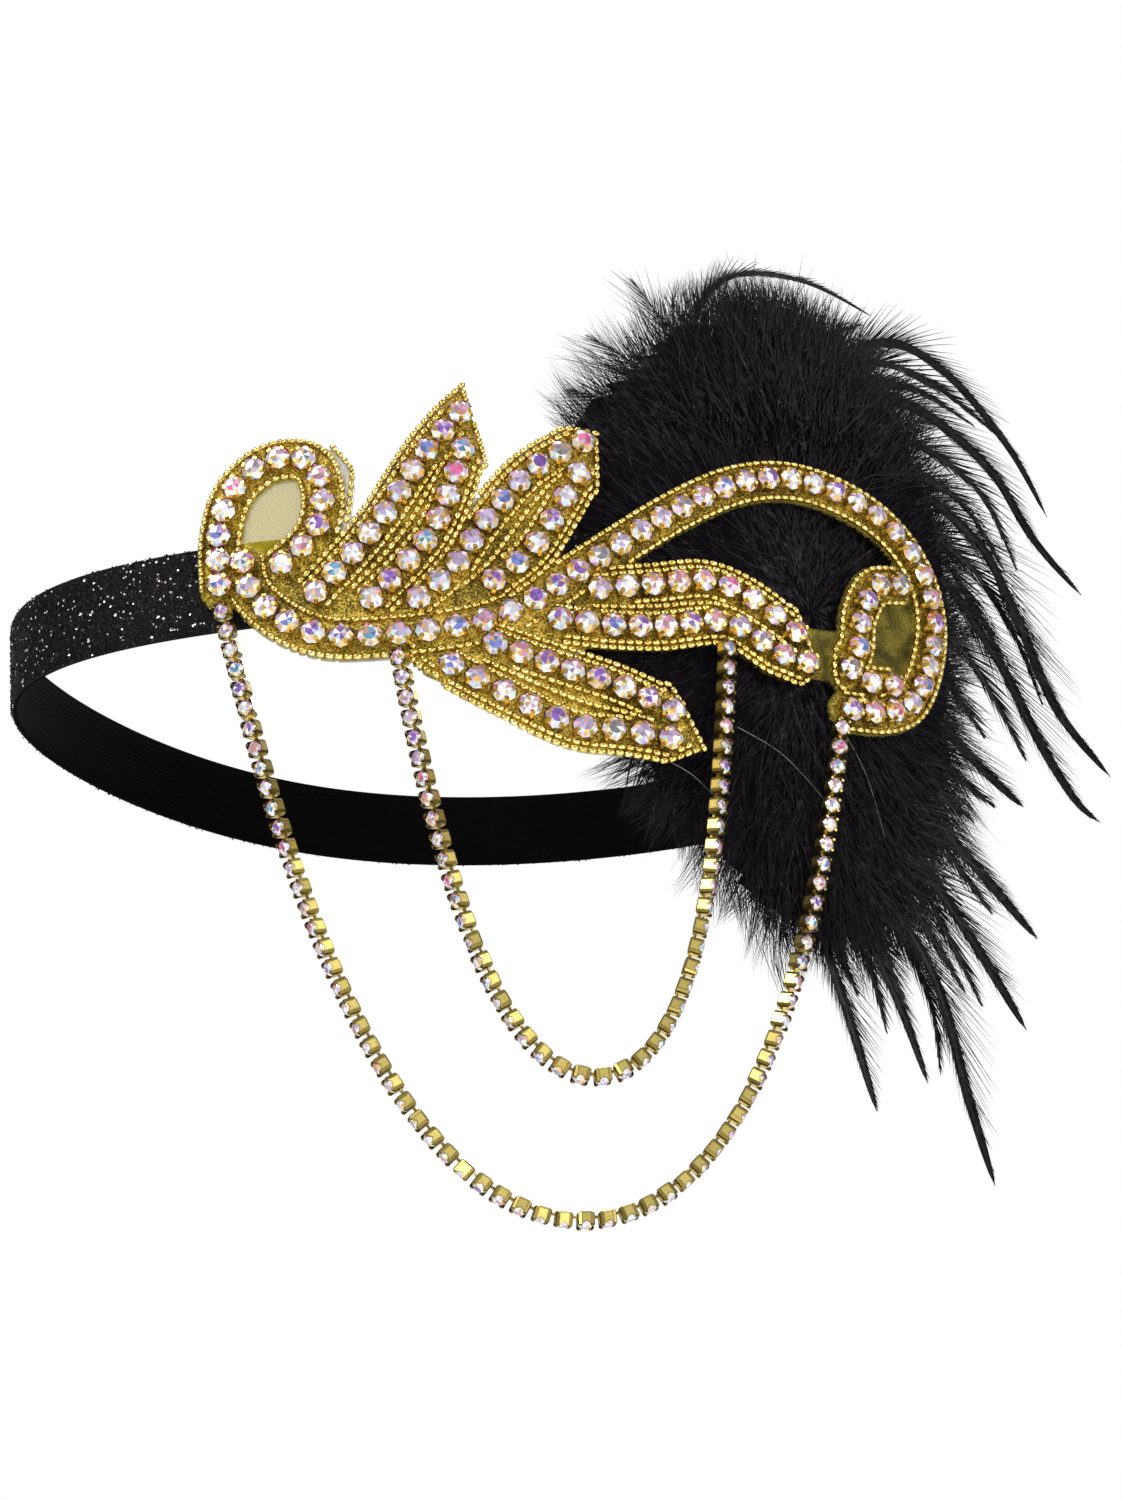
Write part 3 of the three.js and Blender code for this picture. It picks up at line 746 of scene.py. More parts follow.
def net_finish(look):
    """Gold thread under the stones and beads, and see-through gauze where the net is bare, with painted
    light: thread lighter where nothing is behind the net, and lighter gauze in the left curl's window.
    """
    finish = Finish("gold_thread_net")
    flat = finish.node("ShaderNodeUVMap", {"uv_map": "flat"})
    bare = finish.attribute("bare")
    across = finish.node("ShaderNodeSeparateXYZ", {}, {0: flat}, "X")
    upward = finish.node("ShaderNodeSeparateXYZ", {}, {0: flat}, "Y")
    warp = (across + upward * WEAVE_SLANT) * WEAVE_RATE
    weft = (upward - across * WEAVE_SLANT) * WEAVE_RATE
    weave = warp.math("SINE", warp) * 0.5 + weft.math("SINE", weft) * 0.5
    stitch = finish.noise(60.0, detail=3, vector=flat, roughness=0.7)
    patch = finish.noise(9.0, vector=flat)
    thread = finish.noise(240.0, vector=flat)
    # Painted light: beyond the band's half-width and before the plume, where nothing is behind the net,
    # the thread is painted lighter as if lit from behind.
    clear_behind = (upward * upward > BAND_HALF_SQUARED) * (1 - (across > PLUME_FROM))
    strand = thread * 0.4 + stitch * 0.35 + patch * 0.25 + clear_behind * 0.045 - 0.016
    gold = finish.ramp(
        strand,
        (0.4, shade(look.thread, 0.08)),
        (0.48, shade(look.thread, 0.36)),
        (0.55, shade(look.thread, 1.0)),
        (0.65, BRIGHT_THREAD),
    )
    streak = finish.noise(26.0, detail=3, vector=flat)
    uneven = weave * 0.3 + streak * 3.2 - 1.15
    gauze = finish.mix(uneven, rgba(shade(look.net, 0.25)), rgba(shade(look.net, 1.4)))
    # Painted light: in the left curl's window the gauze takes a lighter colour, as if lit from behind,
    # and is made less see-through.
    lit_behind = 1 - (across > LIT_WINDOW_TO)
    gauze = finish.mix(lit_behind, gauze, rgba(PAINTED_LIT_GAUZE))
    finish.set(Base_Color=finish.mix(bare, gold, gauze), Metallic=(1 - bare) * 0.35)
    finish.set(Roughness=0.45 + bare * 0.3, Specular_IOR_Level=0.2)
    finish.set(Alpha=1 - bare * (0.76 - lit_behind * 0.14 - (weave > 0.1) * 0.2))
    relief = strand * (1 - bare) + weave * bare * 0.2
    finish.set(Normal=finish.bump(relief, distance=0.0006, strength=0.8))
    return finish.material


def gold_finish(name, colour, roughness, grain):
    """Bright gold that varies from piece to piece."""
    finish = Finish(name)
    cloud = finish.noise(grain, detail=3)
    warm = shade(colour, 0.55)
    pale = (min(1, colour[0] * 1.15), min(1, colour[1] * 1.3), min(1, colour[2] * 2.2))
    shine = finish.ramp(cloud, (0.3, warm), (0.5, tuple(colour)), (0.7, pale))
    finish.set(Base_Color=shine, Metallic=1.0, Roughness=roughness + cloud * 0.12)
    return finish.material


def cup_finish(look):
    """Cup metal, with painted shade dark along the edges and painted light bright on the side panels.
    """
    finish = Finish("cup_gold")
    bright = finish.attribute("bright")
    cloud = finish.noise(250.0, detail=3)
    panel = finish.ramp(cloud, (0.3, shade(look.gold, 0.8)), (0.7, shade(look.gold, 1.2)))
    # Painted light and shade: the side panels get the lit gold, everything else dark gold as shade.
    finish.set(Base_Color=finish.mix(bright, rgba(shade(look.gold, 0.32)), panel), Metallic=1.0)
    finish.set(Roughness=0.36 - cloud * 0.1)
    return finish.material


def stone_finish():
    """Coated glass, each facet with its own tint, partly painted shade and reflections, and a faint
    painted glow.
    """
    finish = Finish("coated_stone")
    tint = finish.attribute("tint", "Color")
    finish.set(Base_Color=tint, Roughness=0.05, Metallic=0.3, IOR=1.8)
    finish.set(Coat_Weight=0.3, Coat_Roughness=0.03)
    # Painted glow: the facets give off a little light in their own tint, though they are no lamp.
    finish.set(Emission_Color=tint, Emission_Strength=0.06)
    return finish.material


def feather_finish(name, look, roughness, gloss, sheen_fleck_shade):
    """Black feather with deeper and paler flecks at random, the paler ones a painted sheen on the fine
    hairs.
    """
    finish = Finish(name)
    fleck = finish.noise(700.0, detail=3)
    deep, pale = shade(look.black, 0.4), shade(look.black, sheen_fleck_shade)
    # Painted sheen: the paler flecks, brightened by the given factor, stand in for highlights on the
    # hairs.
    colour = finish.ramp(fleck, (0.35, deep), (0.55, tuple(look.black)), (0.75, pale))
    finish.set(Base_Color=colour, Roughness=roughness + fleck * 0.2, Specular_IOR_Level=gloss)
    return finish.material


# Shapes on the ornament's bend and on the plume's sheet.
def spline(points):
    """Dense points of a smooth curve through the points, and the distance along it to each."""
    given = np.array(points, float)
    ends = np.vstack([given[:1], given, given[-1:]])
    share = np.linspace(0, 1, SPAN_STEPS, endpoint=False)[:, None]
    spans = []
    for before, near, far, after in zip(ends, ends[1:], ends[2:], ends[3:]):
        leave, arrive = (far - before) / 2, (after - near) / 2
        cubic = (2 * near - 2 * far + leave + arrive) * share**3
        square = (3 * far - 3 * near - 2 * leave - arrive) * share**2
        spans.append(cubic + square + leave * share + near)
    dense = np.vstack([*spans, given[-1:]])
    steps = np.linalg.norm(np.diff(dense, axis=0), axis=1)
    return dense, np.concatenate([[0], np.cumsum(steps)])


def at_distance(dense, run, distances):
    """Points at distances along a dense curve."""
    return np.stack([np.interp(distances, run, column) for column in dense.T], 1)


def unit(directions):
    return directions / np.linalg.norm(directions, axis=1)[:, None]


def heading_at(dense, run, distances, nudge):
    """Directions of a dense curve at distances along it."""
    before = at_distance(dense, run, distances - nudge)
    return unit(at_distance(dense, run, distances + nudge) - before)


def spaced(points, pitch):
    """Places at equal distances along a curve, and the direction there."""
    dense, run = spline(points)
    distances = np.linspace(0, run[-1], round(run[-1] / pitch) + 1)
    return at_distance(dense, run, distances), heading_at(dense, run, distances, pitch * 0.05)


def left_of(heading):
    return np.stack([-heading[:, 1], heading[:, 0]], 1)


def on_ornament(flat, height):
    """Points at a height over the ornament's bend from columns along and up."""
    angle = flat[:, 0] / BEND_RADIUS
    radius = BEND_RADIUS + height
    x = BEND_AXIS[0] + radius * np.sin(angle)
    y = BEND_AXIS[1] - radius * np.cos(angle)
    return MM * np.stack([x, y, flat[:, 1]], 1)


def ornament_axes(flat, heading):
    """Axes of a thing that lies on the ornament: along its heading, across it and outwards."""
    angle = flat[:, 0] / BEND_RADIUS
    zero = np.zeros(len(flat))
    round_bend = np.stack([np.cos(angle), np.sin(angle), zero], 1)
    outward = np.stack([np.sin(angle), -np.cos(angle), zero], 1)
    ahead = heading[:, :1] * round_bend + heading[:, 1:] * UPRIGHT
    return np.stack([ahead, np.cross(outward, ahead), outward], 2)


def on_plume(sheet):
    """Points of the plume's sheet from columns along, up and lift."""
    bent = np.minimum(sheet[:, 0], PLUME_STRAIGHT_FROM)
    angle = bent / BEND_RADIUS
    flat = np.stack([bent, sheet[:, 1]], 1)
    tangent = np.stack([np.cos(angle), np.sin(angle), 0 * angle], 1)
    straight = MM * (sheet[:, 0] - bent)[:, None] * tangent
    return on_ornament(flat, sheet[:, 2] - PLUME_BEHIND) + straight


def plume_normal(along):
    angle = np.minimum(along, PLUME_STRAIGHT_FROM) / BEND_RADIUS
    return np.stack([np.sin(angle), -np.cos(angle), 0 * angle], 1)


def all_rows():
    """Every row of stones by its name, in the order of the part's solids."""
    rows = dict(SCROLL_ROWS)
    for name, leaf in LEAVES.items():
        rows[f"{name}_upper"] = leaf["upper"]
        rows[f"{name}_lower"] = leaf["lower"]
    return rows


def leaf_sides(leaf, margin, steps=30):
    """The upper and lower edge of a leaf, a margin outside its rows of stones."""
    rows = [spline(leaf["upper"]), spline(leaf["lower"])]
    middles = [at_distance(dense, run, np.array([run[-1] / 2])) for dense, run in rows]
    sides = []
    for (dense, run), away in zip(rows, (middles[0] - middles[1], middles[1] - middles[0])):
        distances = np.linspace(0, run[-1], steps)
        side = left_of(heading_at(dense, run, distances, 0.1))
        side *= np.sign(side[steps // 2] @ away[0])
        sides.append(at_distance(dense, run, distances) + side * margin)
    return sides


def leaf_outline(leaf, margin):
    upper, lower = leaf_sides(leaf, margin)
    return np.vstack([np.array([leaf["tip"]]), upper, lower[::-1]])


# Meshes.
def deselect():
    if bpy.context.object and bpy.context.object.mode == "EDIT":
        bpy.ops.object.mode_set(mode="OBJECT")
    bpy.ops.object.select_all(action="DESELECT")


def pick(test):
    """Selects the vertices in edit mode whose place passes the test."""
    mesh = bmesh.from_edit_mesh(bpy.context.edit_object.data)
    bpy.ops.mesh.select_all(action="DESELECT")
    bpy.context.tool_settings.mesh_select_mode = (True, False, False)
    for vertex in mesh.verts:
        vertex.select = test(vertex.co)
    mesh.select_flush(True)
    bmesh.update_edit_mesh(bpy.context.edit_object.data)


def pick_edges(test):
    """Selects the edges in edit mode whose two ends pass the test."""
    mesh = bmesh.from_edit_mesh(bpy.context.edit_object.data)
    bpy.ops.mesh.select_all(action="DESELECT")
    bpy.context.tool_settings.mesh_select_mode = (False, True, False)
    for edge in mesh.edges:
        edge.select = test(*(vertex.co for vertex in edge.verts))
    bmesh.update_edit_mesh(bpy.context.edit_object.data)


def as_pattern(obj):
    """A finished pattern piece as its points and triangles. Its object is removed."""
    mesh = obj.data
    mesh.transform(obj.matrix_world)
    mesh.calc_loop_triangles()
    points = np.array([vertex.co for vertex in mesh.vertices])
    triangles = np.array([face.vertices for face in mesh.loop_triangles])
    bpy.data.objects.remove(obj)
    return points, triangles


def copies(pattern, origins, axes):
    """The pattern at every place as one set of points and triangles."""
    points, triangles = pattern
    placed = origins[:, None, :] + np.einsum("nij,mj->nmi", axes, points)
    shift = np.arange(len(origins))[:, None, None] * len(points)
    return placed.reshape(-1, 3), (triangles[None] + shift).reshape(-1, 3)


def joined(parts):
    points, triangles, count = [], [], 0
    for some_points, some_triangles in parts:
        points.append(some_points)
        triangles.append(some_triangles + count)
        count += len(some_points)
    return np.vstack(points), np.vstack(triangles)


def make_piece(name, shape, slot, *materials, smooth=False, replaces=()):
    """A finished piece of the object from its points and faces."""
    mesh = bpy.data.meshes.new(name)
    mesh.from_pydata(shape[0].tolist(), [], shape[1].tolist())
    obj = bpy.data.objects.new(name, mesh)
    bpy.context.scene.collection.objects.link(obj)
    return dress(obj, slot, *materials, smooth=smooth, replaces=replaces)


def dress(obj, slot, *materials, smooth=False, replaces=()):
    """Gives a piece its materials and its body, and hides the solids that it replaces; the slot is not
    used.
    """
    for material in materials:
        obj.data.materials.append(material)
    obj.data.polygons.foreach_set("use_smooth", [smooth] * len(obj.data.polygons))
    obj.data.update()
    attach(obj, "root")
    if replaces:
        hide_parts(*replaces)
    return obj


def mark_points(obj, name, values):
    """Stores a number at every point, for a finish to read."""
    obj.data.attributes.new(name, "FLOAT", "POINT").data.foreach_set("value", values)


def apply_all(obj):
    bpy.context.view_layer.objects.active = obj
    for modifier in list(obj.modifiers):
        bpy.ops.object.modifier_apply(modifier=modifier.name)


# Band.
def band_midline():
    """The band's middle line from its solid: points between the outer and the inner wall."""
    mesh = frame["nodes"]["glitter_band"].data
    points = np.unique(np.round([vertex.co[:] for vertex in mesh.vertices], 6), axis=0)
    rim = points[points[:, 2] > 0][:, :2]
    turn = np.arctan2(rim[:, 1], rim[:, 0])
    ring = rim[np.argsort(turn)]
    pairs = ring.reshape(-1, 2, 2)
    return pairs.mean(1)


def build_band(look):
    middle = band_midline()
    closed = np.vstack([middle[-2:], middle, middle[:3]])
    dense, run = spline(closed)
    first, last = run[2 * SPAN_STEPS], run[(len(middle) + 2) * SPAN_STEPS]
    steps = BAND_STEPS * len(middle)
    ring = at_distance(dense, run, np.linspace(first, last, steps, endpoint=False))
    deselect()
    bpy.ops.mesh.primitive_circle_add(vertices=steps, radius=0.1)
    obj = bpy.context.object
    obj.name = "band_elastic"
    for vertex, (x, y) in zip(obj.data.vertices, ring):
        vertex.co = (x, y, -look.width / 2)
    bpy.ops.object.mode_set(mode="EDIT")
    bpy.ops.mesh.select_all(action="SELECT")
    for _ in range(BAND_ROWS):
        rise = {"value": (0, 0, look.width / BAND_ROWS)}
        bpy.ops.mesh.extrude_region_move(TRANSFORM_OT_translate=rise)
    bpy.ops.mesh.select_all(action="SELECT")
    bpy.ops.mesh.normals_make_consistent(inside=False)
    bpy.ops.object.mode_set(mode="OBJECT")
    wall = obj.modifiers.new("wall", "SOLIDIFY")
    wall.thickness = look.thickness
    wall.offset = 0
    edge = obj.modifiers.new("edge", "BEVEL")
    edge.width = look.thickness * BAND_EDGE
    edge.segments = 2
    edge.limit_method = "ANGLE"
    apply_all(obj)
    faces = glitter_finish(look), elastic_finish(look)
    dress(obj, "glitter", *faces, smooth=True, replaces=["glitter_band"])
    for face in obj.data.polygons:
        radial = Vector((face.center.x, face.center.y, 0)).normalized()
        face.material_index = 0 if face.normal.dot(radial) > BAND_FACING else 1
    bpy.context.view_layer.objects.active = obj
    obj.select_set(True)
    bpy.ops.object.shade_smooth_by_angle(angle=math.radians(BAND_SHARP))
    build_flakes(look, dense, run, (first, last))


def build_flakes(look, dense, run, reach):
    """Small tilted glitter flakes that lie all over the band's outer face."""
    draw = np.random.default_rng(SEEDS["flakes"])
    count = look.flakes
    distance = draw.uniform(*reach, count)
    place = at_distance(dense, run, distance)
    ahead = at_distance(dense, run, distance + 0.0002) - place
    ahead = np.column_stack([unit(ahead), np.zeros(count)])
    outward = np.cross(ahead, UPRIGHT)
    height = draw.uniform(-0.5, 0.5, count) * look.width
    lift = look.thickness / 2 + draw.uniform(*FLAKE_LIFTS, count)
    origins = np.column_stack([place, height]) + lift[:, None] * outward
    facing = unit(outward + FLAKE_TILT * draw.normal(0, 1, (count, 3)))
    side = unit(np.cross(facing, draw.normal(0, 1, (count, 3))))
    size = draw.uniform(*FLAKE_SIZES, count)[:, None, None] * look.glitter_size
    axes = np.stack([side, np.cross(facing, side), facing], 2) * size
    flake = (np.array(FLAKE_OUTLINE), np.array([(0, 1, 2), (0, 2, 3)]))
    shape = copies(flake, origins, axes)
    finish = flake_finish(look)
    obj = make_piece("glitter_flakes", shape, "glitter", finish, replaces=["glitter_band"])
    spark = np.repeat(draw.uniform(0, 1, count), len(FLAKE_OUTLINE))
    mark_points(obj, "spark", spark)


# Net.
def polygon_distance(points, outline):
    """Signed distance to a closed outline, below zero inside it."""
    nearest = np.full(len(points), 1e9)
    inside = np.zeros(len(points), bool)
    for start, end in zip(outline, np.roll(outline, -1, axis=0)):
        edge = end - start
        share = np.clip((points - start) @ edge / max(edge @ edge, 1e-9), 0, 1)
        away = points - start - share[:, None] * edge
        nearest = np.minimum(nearest, np.linalg.norm(away, axis=1))
        crosses = (start[1] > points[:, 1]) != (end[1] > points[:, 1])
        slope = edge[0] / edge[1] if abs(edge[1]) > 1e-9 else 0
        inside ^= crosses & (points[:, 0] < start[0] + (points[:, 1] - start[1]) * slope)
    return np.where(inside, -nearest, nearest)


def row_distance(points, rows):
    nearest = np.full(len(points), 1e9)
    for row in rows:
        for place in spaced(row, 1.0)[0]:
            nearest = np.minimum(nearest, np.linalg.norm(points - place, axis=1))
    return nearest


def panel_outline(sections):
    left = [(start, up) for up, start, end in sections]
    right = [(end, up) for up, start, end in sections]
    return np.array(left + right[::-1], float)


def net_distance(points):
    """Signed distance to the net's outline, below zero on the net."""
    near = row_distance(points, SCROLL_ROWS.values()) - NET_MARGIN
    for leaf in LEAVES.values():
        near = np.minimum(near, polygon_distance(points, leaf_outline(leaf, NET_MARGIN)))
    for sections in NET_PANELS.values():
        near = np.minimum(near, polygon_distance(points, panel_outline(sections)))
    return near


def build_net(look):
    step = NET_STEP
    across = np.arange(*NET_ACROSS, step)
    upward = np.arange(*NET_UPWARD, step)
    grid = np.stack(np.meshgrid(across, upward, indexing="ij"), 2)
    shape = grid.shape[:2]
    distance = net_distance(grid.reshape(-1, 2)).reshape(shape)
    slope = np.stack(np.gradient(distance, step), 2)
    slope /= np.maximum(np.linalg.norm(slope, axis=2), 0.3)[:, :, None]
    kept = distance < step * 0.5
    cells = kept[:-1, :-1] & kept[1:, :-1] & kept[:-1, 1:] & kept[1:, 1:]
    edge = distance > -step * 0.5
    placed = np.where(edge[:, :, None], grid - slope * distance[:, :, None], grid).reshape(-1, 2)
    index = np.arange(shape[0] * shape[1]).reshape(shape)
    corners = [index[:-1, :-1], index[1:, :-1], index[1:, 1:], index[:-1, 1:]]
    faces = np.stack([corner[cells] for corner in corners], 1)
    used, faces = np.unique(faces, return_inverse=True)
    flat = placed[used]
    sheet = (on_ornament(flat, NET_TOP - NET_SUNK), faces.reshape(-1, 4))
    finish = net_finish(look)
    obj = make_piece("net_gauze", sheet, "net", finish, smooth=True, replaces=["net_backing"])
    covers = [row_distance(flat, all_rows().values()) - ROW_COVER]
    for leaf in LEAVES.values():
        covers.append(polygon_distance(flat, leaf_outline(leaf, LEAF_COVER)))
    for name in SEWN_PANELS:
        covers.append(polygon_distance(flat, panel_outline(NET_PANELS[name])))
    bare = np.clip((np.min(covers, axis=0) + BARE_FROM) / BARE_OVER, 0, 1)
    mark_points(obj, "bare", bare)
    corner_points = np.zeros(len(obj.data.loops), int)
    obj.data.loops.foreach_get("vertex_index", corner_points)
    places = (flat[corner_points] * FLAT_UNIT).ravel()
    obj.data.uv_layers.new(name="flat").data.foreach_set("uv", places)
    wall = obj.modifiers.new("wall", "SOLIDIFY")
    wall.thickness = NET_THICKNESS * MM
    wall.offset = -1
    apply_all(obj)
    corner = flat[faces.reshape(-1, 4)]
    first, second = corner[:, 2] - corner[:, 0], corner[:, 3] - corner[:, 1]
    area = np.abs(first[:, 0] * second[:, 1] - first[:, 1] * second[:, 0]).sum() / 2 * MM**2


# Stones.
def stone_pattern(radius, table, crown):
    """A cut stone with its girdle at zero: poked crown facets round a poked table."""
    deselect()
    bpy.ops.mesh.primitive_cone_add(
        vertices=8, radius1=radius, radius2=table, depth=crown, location=(0, 0, crown / 2)
    )
    bpy.ops.object.mode_set(mode="EDIT")
    bpy.ops.mesh.select_all(action="SELECT")
    bpy.ops.mesh.poke(offset=POKE_SHARE * radius)
    bpy.ops.object.mode_set(mode="OBJECT")
    return as_pattern(bpy.context.object)


def setting_pattern(radius):
    """A round cup with a sunk seat and four claws bent over the stone."""
    height = SETTING_HEIGHT * MM
    foot, rim, lip = 0.84 * radius, 1.06 * radius, 0.1 * radius
    near_top, seat_drop = 0.9 * height, 0.35 * height
    claw, claw_size, claw_bend = (rim, 0, near_top), 0.34 * radius, 0.3 * radius
    deselect()
    bpy.ops.mesh.primitive_cone_add(
        vertices=16, radius1=foot, radius2=rim, depth=height, location=(0, 0, height / 2)
    )
    obj = bpy.context.object
    bpy.ops.object.transform_apply(location=True)
    bpy.ops.object.mode_set(mode="EDIT")
    pick(lambda place: place.z > near_top)
    bpy.ops.mesh.inset(thickness=lip)
    bpy.ops.transform.translate(value=(0, 0, -seat_drop))
    bpy.ops.mesh.primitive_cube_add(size=claw_size, location=claw)
    bpy.ops.transform.resize(value=(0.7, 1, 3.2), center_override=claw)
    over = 1.2 * height
    pick(lambda place: place.x > 0.8 * radius and place.z > over)
    bpy.ops.transform.translate(value=(-claw_bend, 0, 0))
    near, narrow = 0.55 * radius, 0.18 * radius
    pick(lambda place: place.x > near and abs(place.y) < narrow and place.z > over)
    bpy.ops.mesh.select_linked()
    bpy.ops.mesh.spin(dupli=True, steps=4, angle=2 * math.pi, center=(0, 0, 0), axis=(0, 0, 1))
    bpy.ops.mesh.select_all(action="SELECT")
    bpy.ops.mesh.remove_doubles(threshold=1e-5)
    bpy.ops.mesh.normals_make_consistent(inside=False)
    bpy.ops.object.mode_set(mode="OBJECT")
    return as_pattern(obj)


def draw_tints(draw, table, count):
    """Tints drawn from a table as often as its shares say."""
    colours = np.array([colour for colour, share in table])
    shares = np.array([share for colour, share in table], float)
    return colours[draw.choice(len(colours), count, p=shares / shares.sum())]


def tint_facets(obj, pattern, seed):
    """Tints every facet: one tint over most of a stone's table, and painted shade and reflections above
    and below it, by which way each facet faces.
    """
    draw = np.random.default_rng(seed)
    points, triangles = pattern
    corners = points[triangles]
    normal = unit(np.cross(corners[:, 1] - corners[:, 0], corners[:, 2] - corners[:, 0]))
    facets = len(triangles)
    stones = len(obj.data.polygons) // facets
    upright = np.zeros(len(obj.data.polygons) * 3)
    obj.data.polygons.foreach_get("normal", upright)
    upright = upright.reshape(-1, 3)[:, 2:]
    count = stones * facets
    table = np.tile(normal[:, 2] > TABLE_FACING, stones)[:, None]
    flash = draw.uniform(0, 1, (count, 1)) < FLASH_SHARE
    upper = draw_tints(draw, UPPER_SHADE_AND_REFLECTION_TINTS, count)
    lower = draw_tints(draw, LOWER_REFLECTION_TINTS, count)
    # Painted shade and reflections: facets that face up take the darker upper tints, the others the
    # paler lower ones.
    tints = np.where(upright > UPPER_FACING, upper, lower)
    faces = np.repeat(draw_tints(draw, TABLE_TINTS, stones), facets, axis=0)
    tints = np.where(table & ~flash, faces, tints) * draw.uniform(*TINT_SHADES, (count, 1))
    corner = np.repeat(np.hstack([np.clip(tints, 0, 1), np.ones((count, 1))]), 3, axis=0)
    colours = obj.data.color_attributes.new("tint", "FLOAT_COLOR", "CORNER")
    colours.data.foreach_set("color", corner.ravel())


def build_stones(look):
    draw = np.random.default_rng(SEEDS["stones"])
    radius = look.stone_radius
    stone = stone_pattern(*(share * radius for share in SET_STONE))
    setting = setting_pattern(radius)
    stones, settings, nodes = [], [], []
    for name, row in all_rows().items():
        flat, heading = spaced(row, STONE_PITCH)
        turn = np.arctan2(heading[:, 1], heading[:, 0]) + math.pi / 4
        turn = turn + draw.normal(0, STONE_TURN, len(flat))
        axes = ornament_axes(flat, np.stack([np.cos(turn), np.sin(turn)], 1))
        tilt = axes.copy()
        tilt[:, :, 2] += STONE_TILT * draw.normal(0, 1, (len(flat), 3))
        stones.append(copies(stone, on_ornament(flat, STONE_LIFT + 0.95 * SETTING_HEIGHT), tilt))
        settings.append(copies(setting, on_ornament(flat, STONE_LIFT), axes))
        nodes.append(f"stones_{name}")
    cut = make_piece("cut_stones", joined(stones), "stones", stone_finish(), replaces=nodes)
    tint_facets(cut, stone, SEEDS["stone_tints"])
    gold = gold_finish("claw_gold", look.gold, roughness=0.2, grain=900.0)
    make_piece("claw_settings", joined(settings), "stones", gold, replaces=nodes)


# Beads.
def bead_lines():
    """Curves that seed beads are sewn along: leaf edges and middles, then each row's sides."""
    for leaf in LEAVES.values():
        tip = np.array([leaf["tip"]])
        for inset, pull in LEAF_EDGE_LINES:
            upper, lower = leaf_sides(leaf, inset)
            inner_tip = tip + (upper[:1] + lower[:1] - 2 * tip) / 2 * pull
            yield np.vstack([upper[::-2], inner_tip])
            yield np.vstack([inner_tip, lower[::2]])
        near, far = leaf_sides(leaf, 0)
        yield ((near + far) / 2)[3::3]
        near, far = leaf_sides(leaf, LEAF_INNER_LINE)
        yield near[2::3]
        yield far[2::3]
    for row in SCROLL_ROWS.values():
        flat, heading = spaced(row, 2.5)
        yield flat + ROW_SIDE_LINE * left_of(heading)
        yield flat - ROW_SIDE_LINE * left_of(heading)
    yield np.array([(end - 0.6, up) for up, _, end in NET_PANELS["left_side"]], float)
    root = np.array([(start, up) for up, start, _ in NET_PANELS["leaf_root"][:4]], float)
    yield root + 0.5
    yield root + 1.5


def build_beads(look):
    deselect()
    bpy.ops.mesh.primitive_uv_sphere_add(segments=8, ring_count=5, radius=0.5)
    bpy.ops.object.mode_set(mode="EDIT")
    pick(lambda place: abs(place.z) > 0.3)
    bpy.ops.transform.resize(value=(1.35, 1.35, 1), center_override=(0, 0, 0))
    bpy.ops.object.mode_set(mode="OBJECT")
    points, triangles = as_pattern(bpy.context.object)
    size = np.array([look.bead_length * 0.95, look.bead_width, look.bead_width])
    pattern = (points[:, [2, 0, 1]] * size, triangles)
    stones = np.vstack([spaced(row, STONE_PITCH)[0] for row in all_rows().values()])
    clear_of_stone = look.stone_radius / MM + BEAD_TO_STONE * look.bead_width / MM
    clear_of_bead = BEAD_TO_BEAD * look.bead_width / MM
    placed, headings = [], []
    for line in bead_lines():
        flat, heading = spaced(line, look.bead_length / MM)
        for place, way in zip(flat, heading):
            if np.linalg.norm(stones - place, axis=1).min() < clear_of_stone:
                continue
            if placed and np.linalg.norm(np.array(placed) - place, axis=1).min() < clear_of_bead:
                continue
            placed.append(place)
            headings.append(way)
    flat = np.array(placed)
    height = NET_TOP + BEAD_LIFT * look.bead_width / MM
    shape = copies(pattern, on_ornament(flat, height), ornament_axes(flat, np.array(headings)))
    gold = gold_finish("bead_gold", look.gold, roughness=0.16, grain=500.0)
    make_piece("seed_beads", shape, "net", gold, smooth=True)


# Chains.
def swag(row):
    """Middles and directions of a hanging chain's cups, and the level direction across it."""
    height = STONE_LIFT + SETTING_HEIGHT
    start, end = on_ornament(np.array([row["start"], row["end"]], float), height)
    length = row["cups"] * CHAIN_PITCH * MM
    span = math.hypot(end[0] - start[0], end[1] - start[1])
    rise = end[2] - start[2]
    slack = math.sqrt(length**2 - rise**2)
    low, high = span / SWAG_BOUND, span * SWAG_BOUND
    for _ in range(SWAG_HALVINGS):
        middle = (low + high) / 2
        if 2 * middle * math.sinh(span / (2 * middle)) > slack:
            low = middle
        else:
            high = middle
    lowest = span / 2 - high * math.atanh(rise / length)
    arc = high * math.sinh(-lowest / high) + (np.arange(row["cups"]) + 0.5) * CHAIN_PITCH * MM
    across = lowest + high * np.arcsinh(arc / high)
    level = np.array([(end[0] - start[0]) / span, (end[1] - start[1]) / span, 0])
    drop = high * (np.cosh((across - lowest) / high) - math.cosh(lowest / high))
    places = start + across[:, None] * level + drop[:, None] * UPRIGHT
    slope = np.sinh((across - lowest) / high)
    return places, unit(level + slope[:, None] * UPRIGHT), level


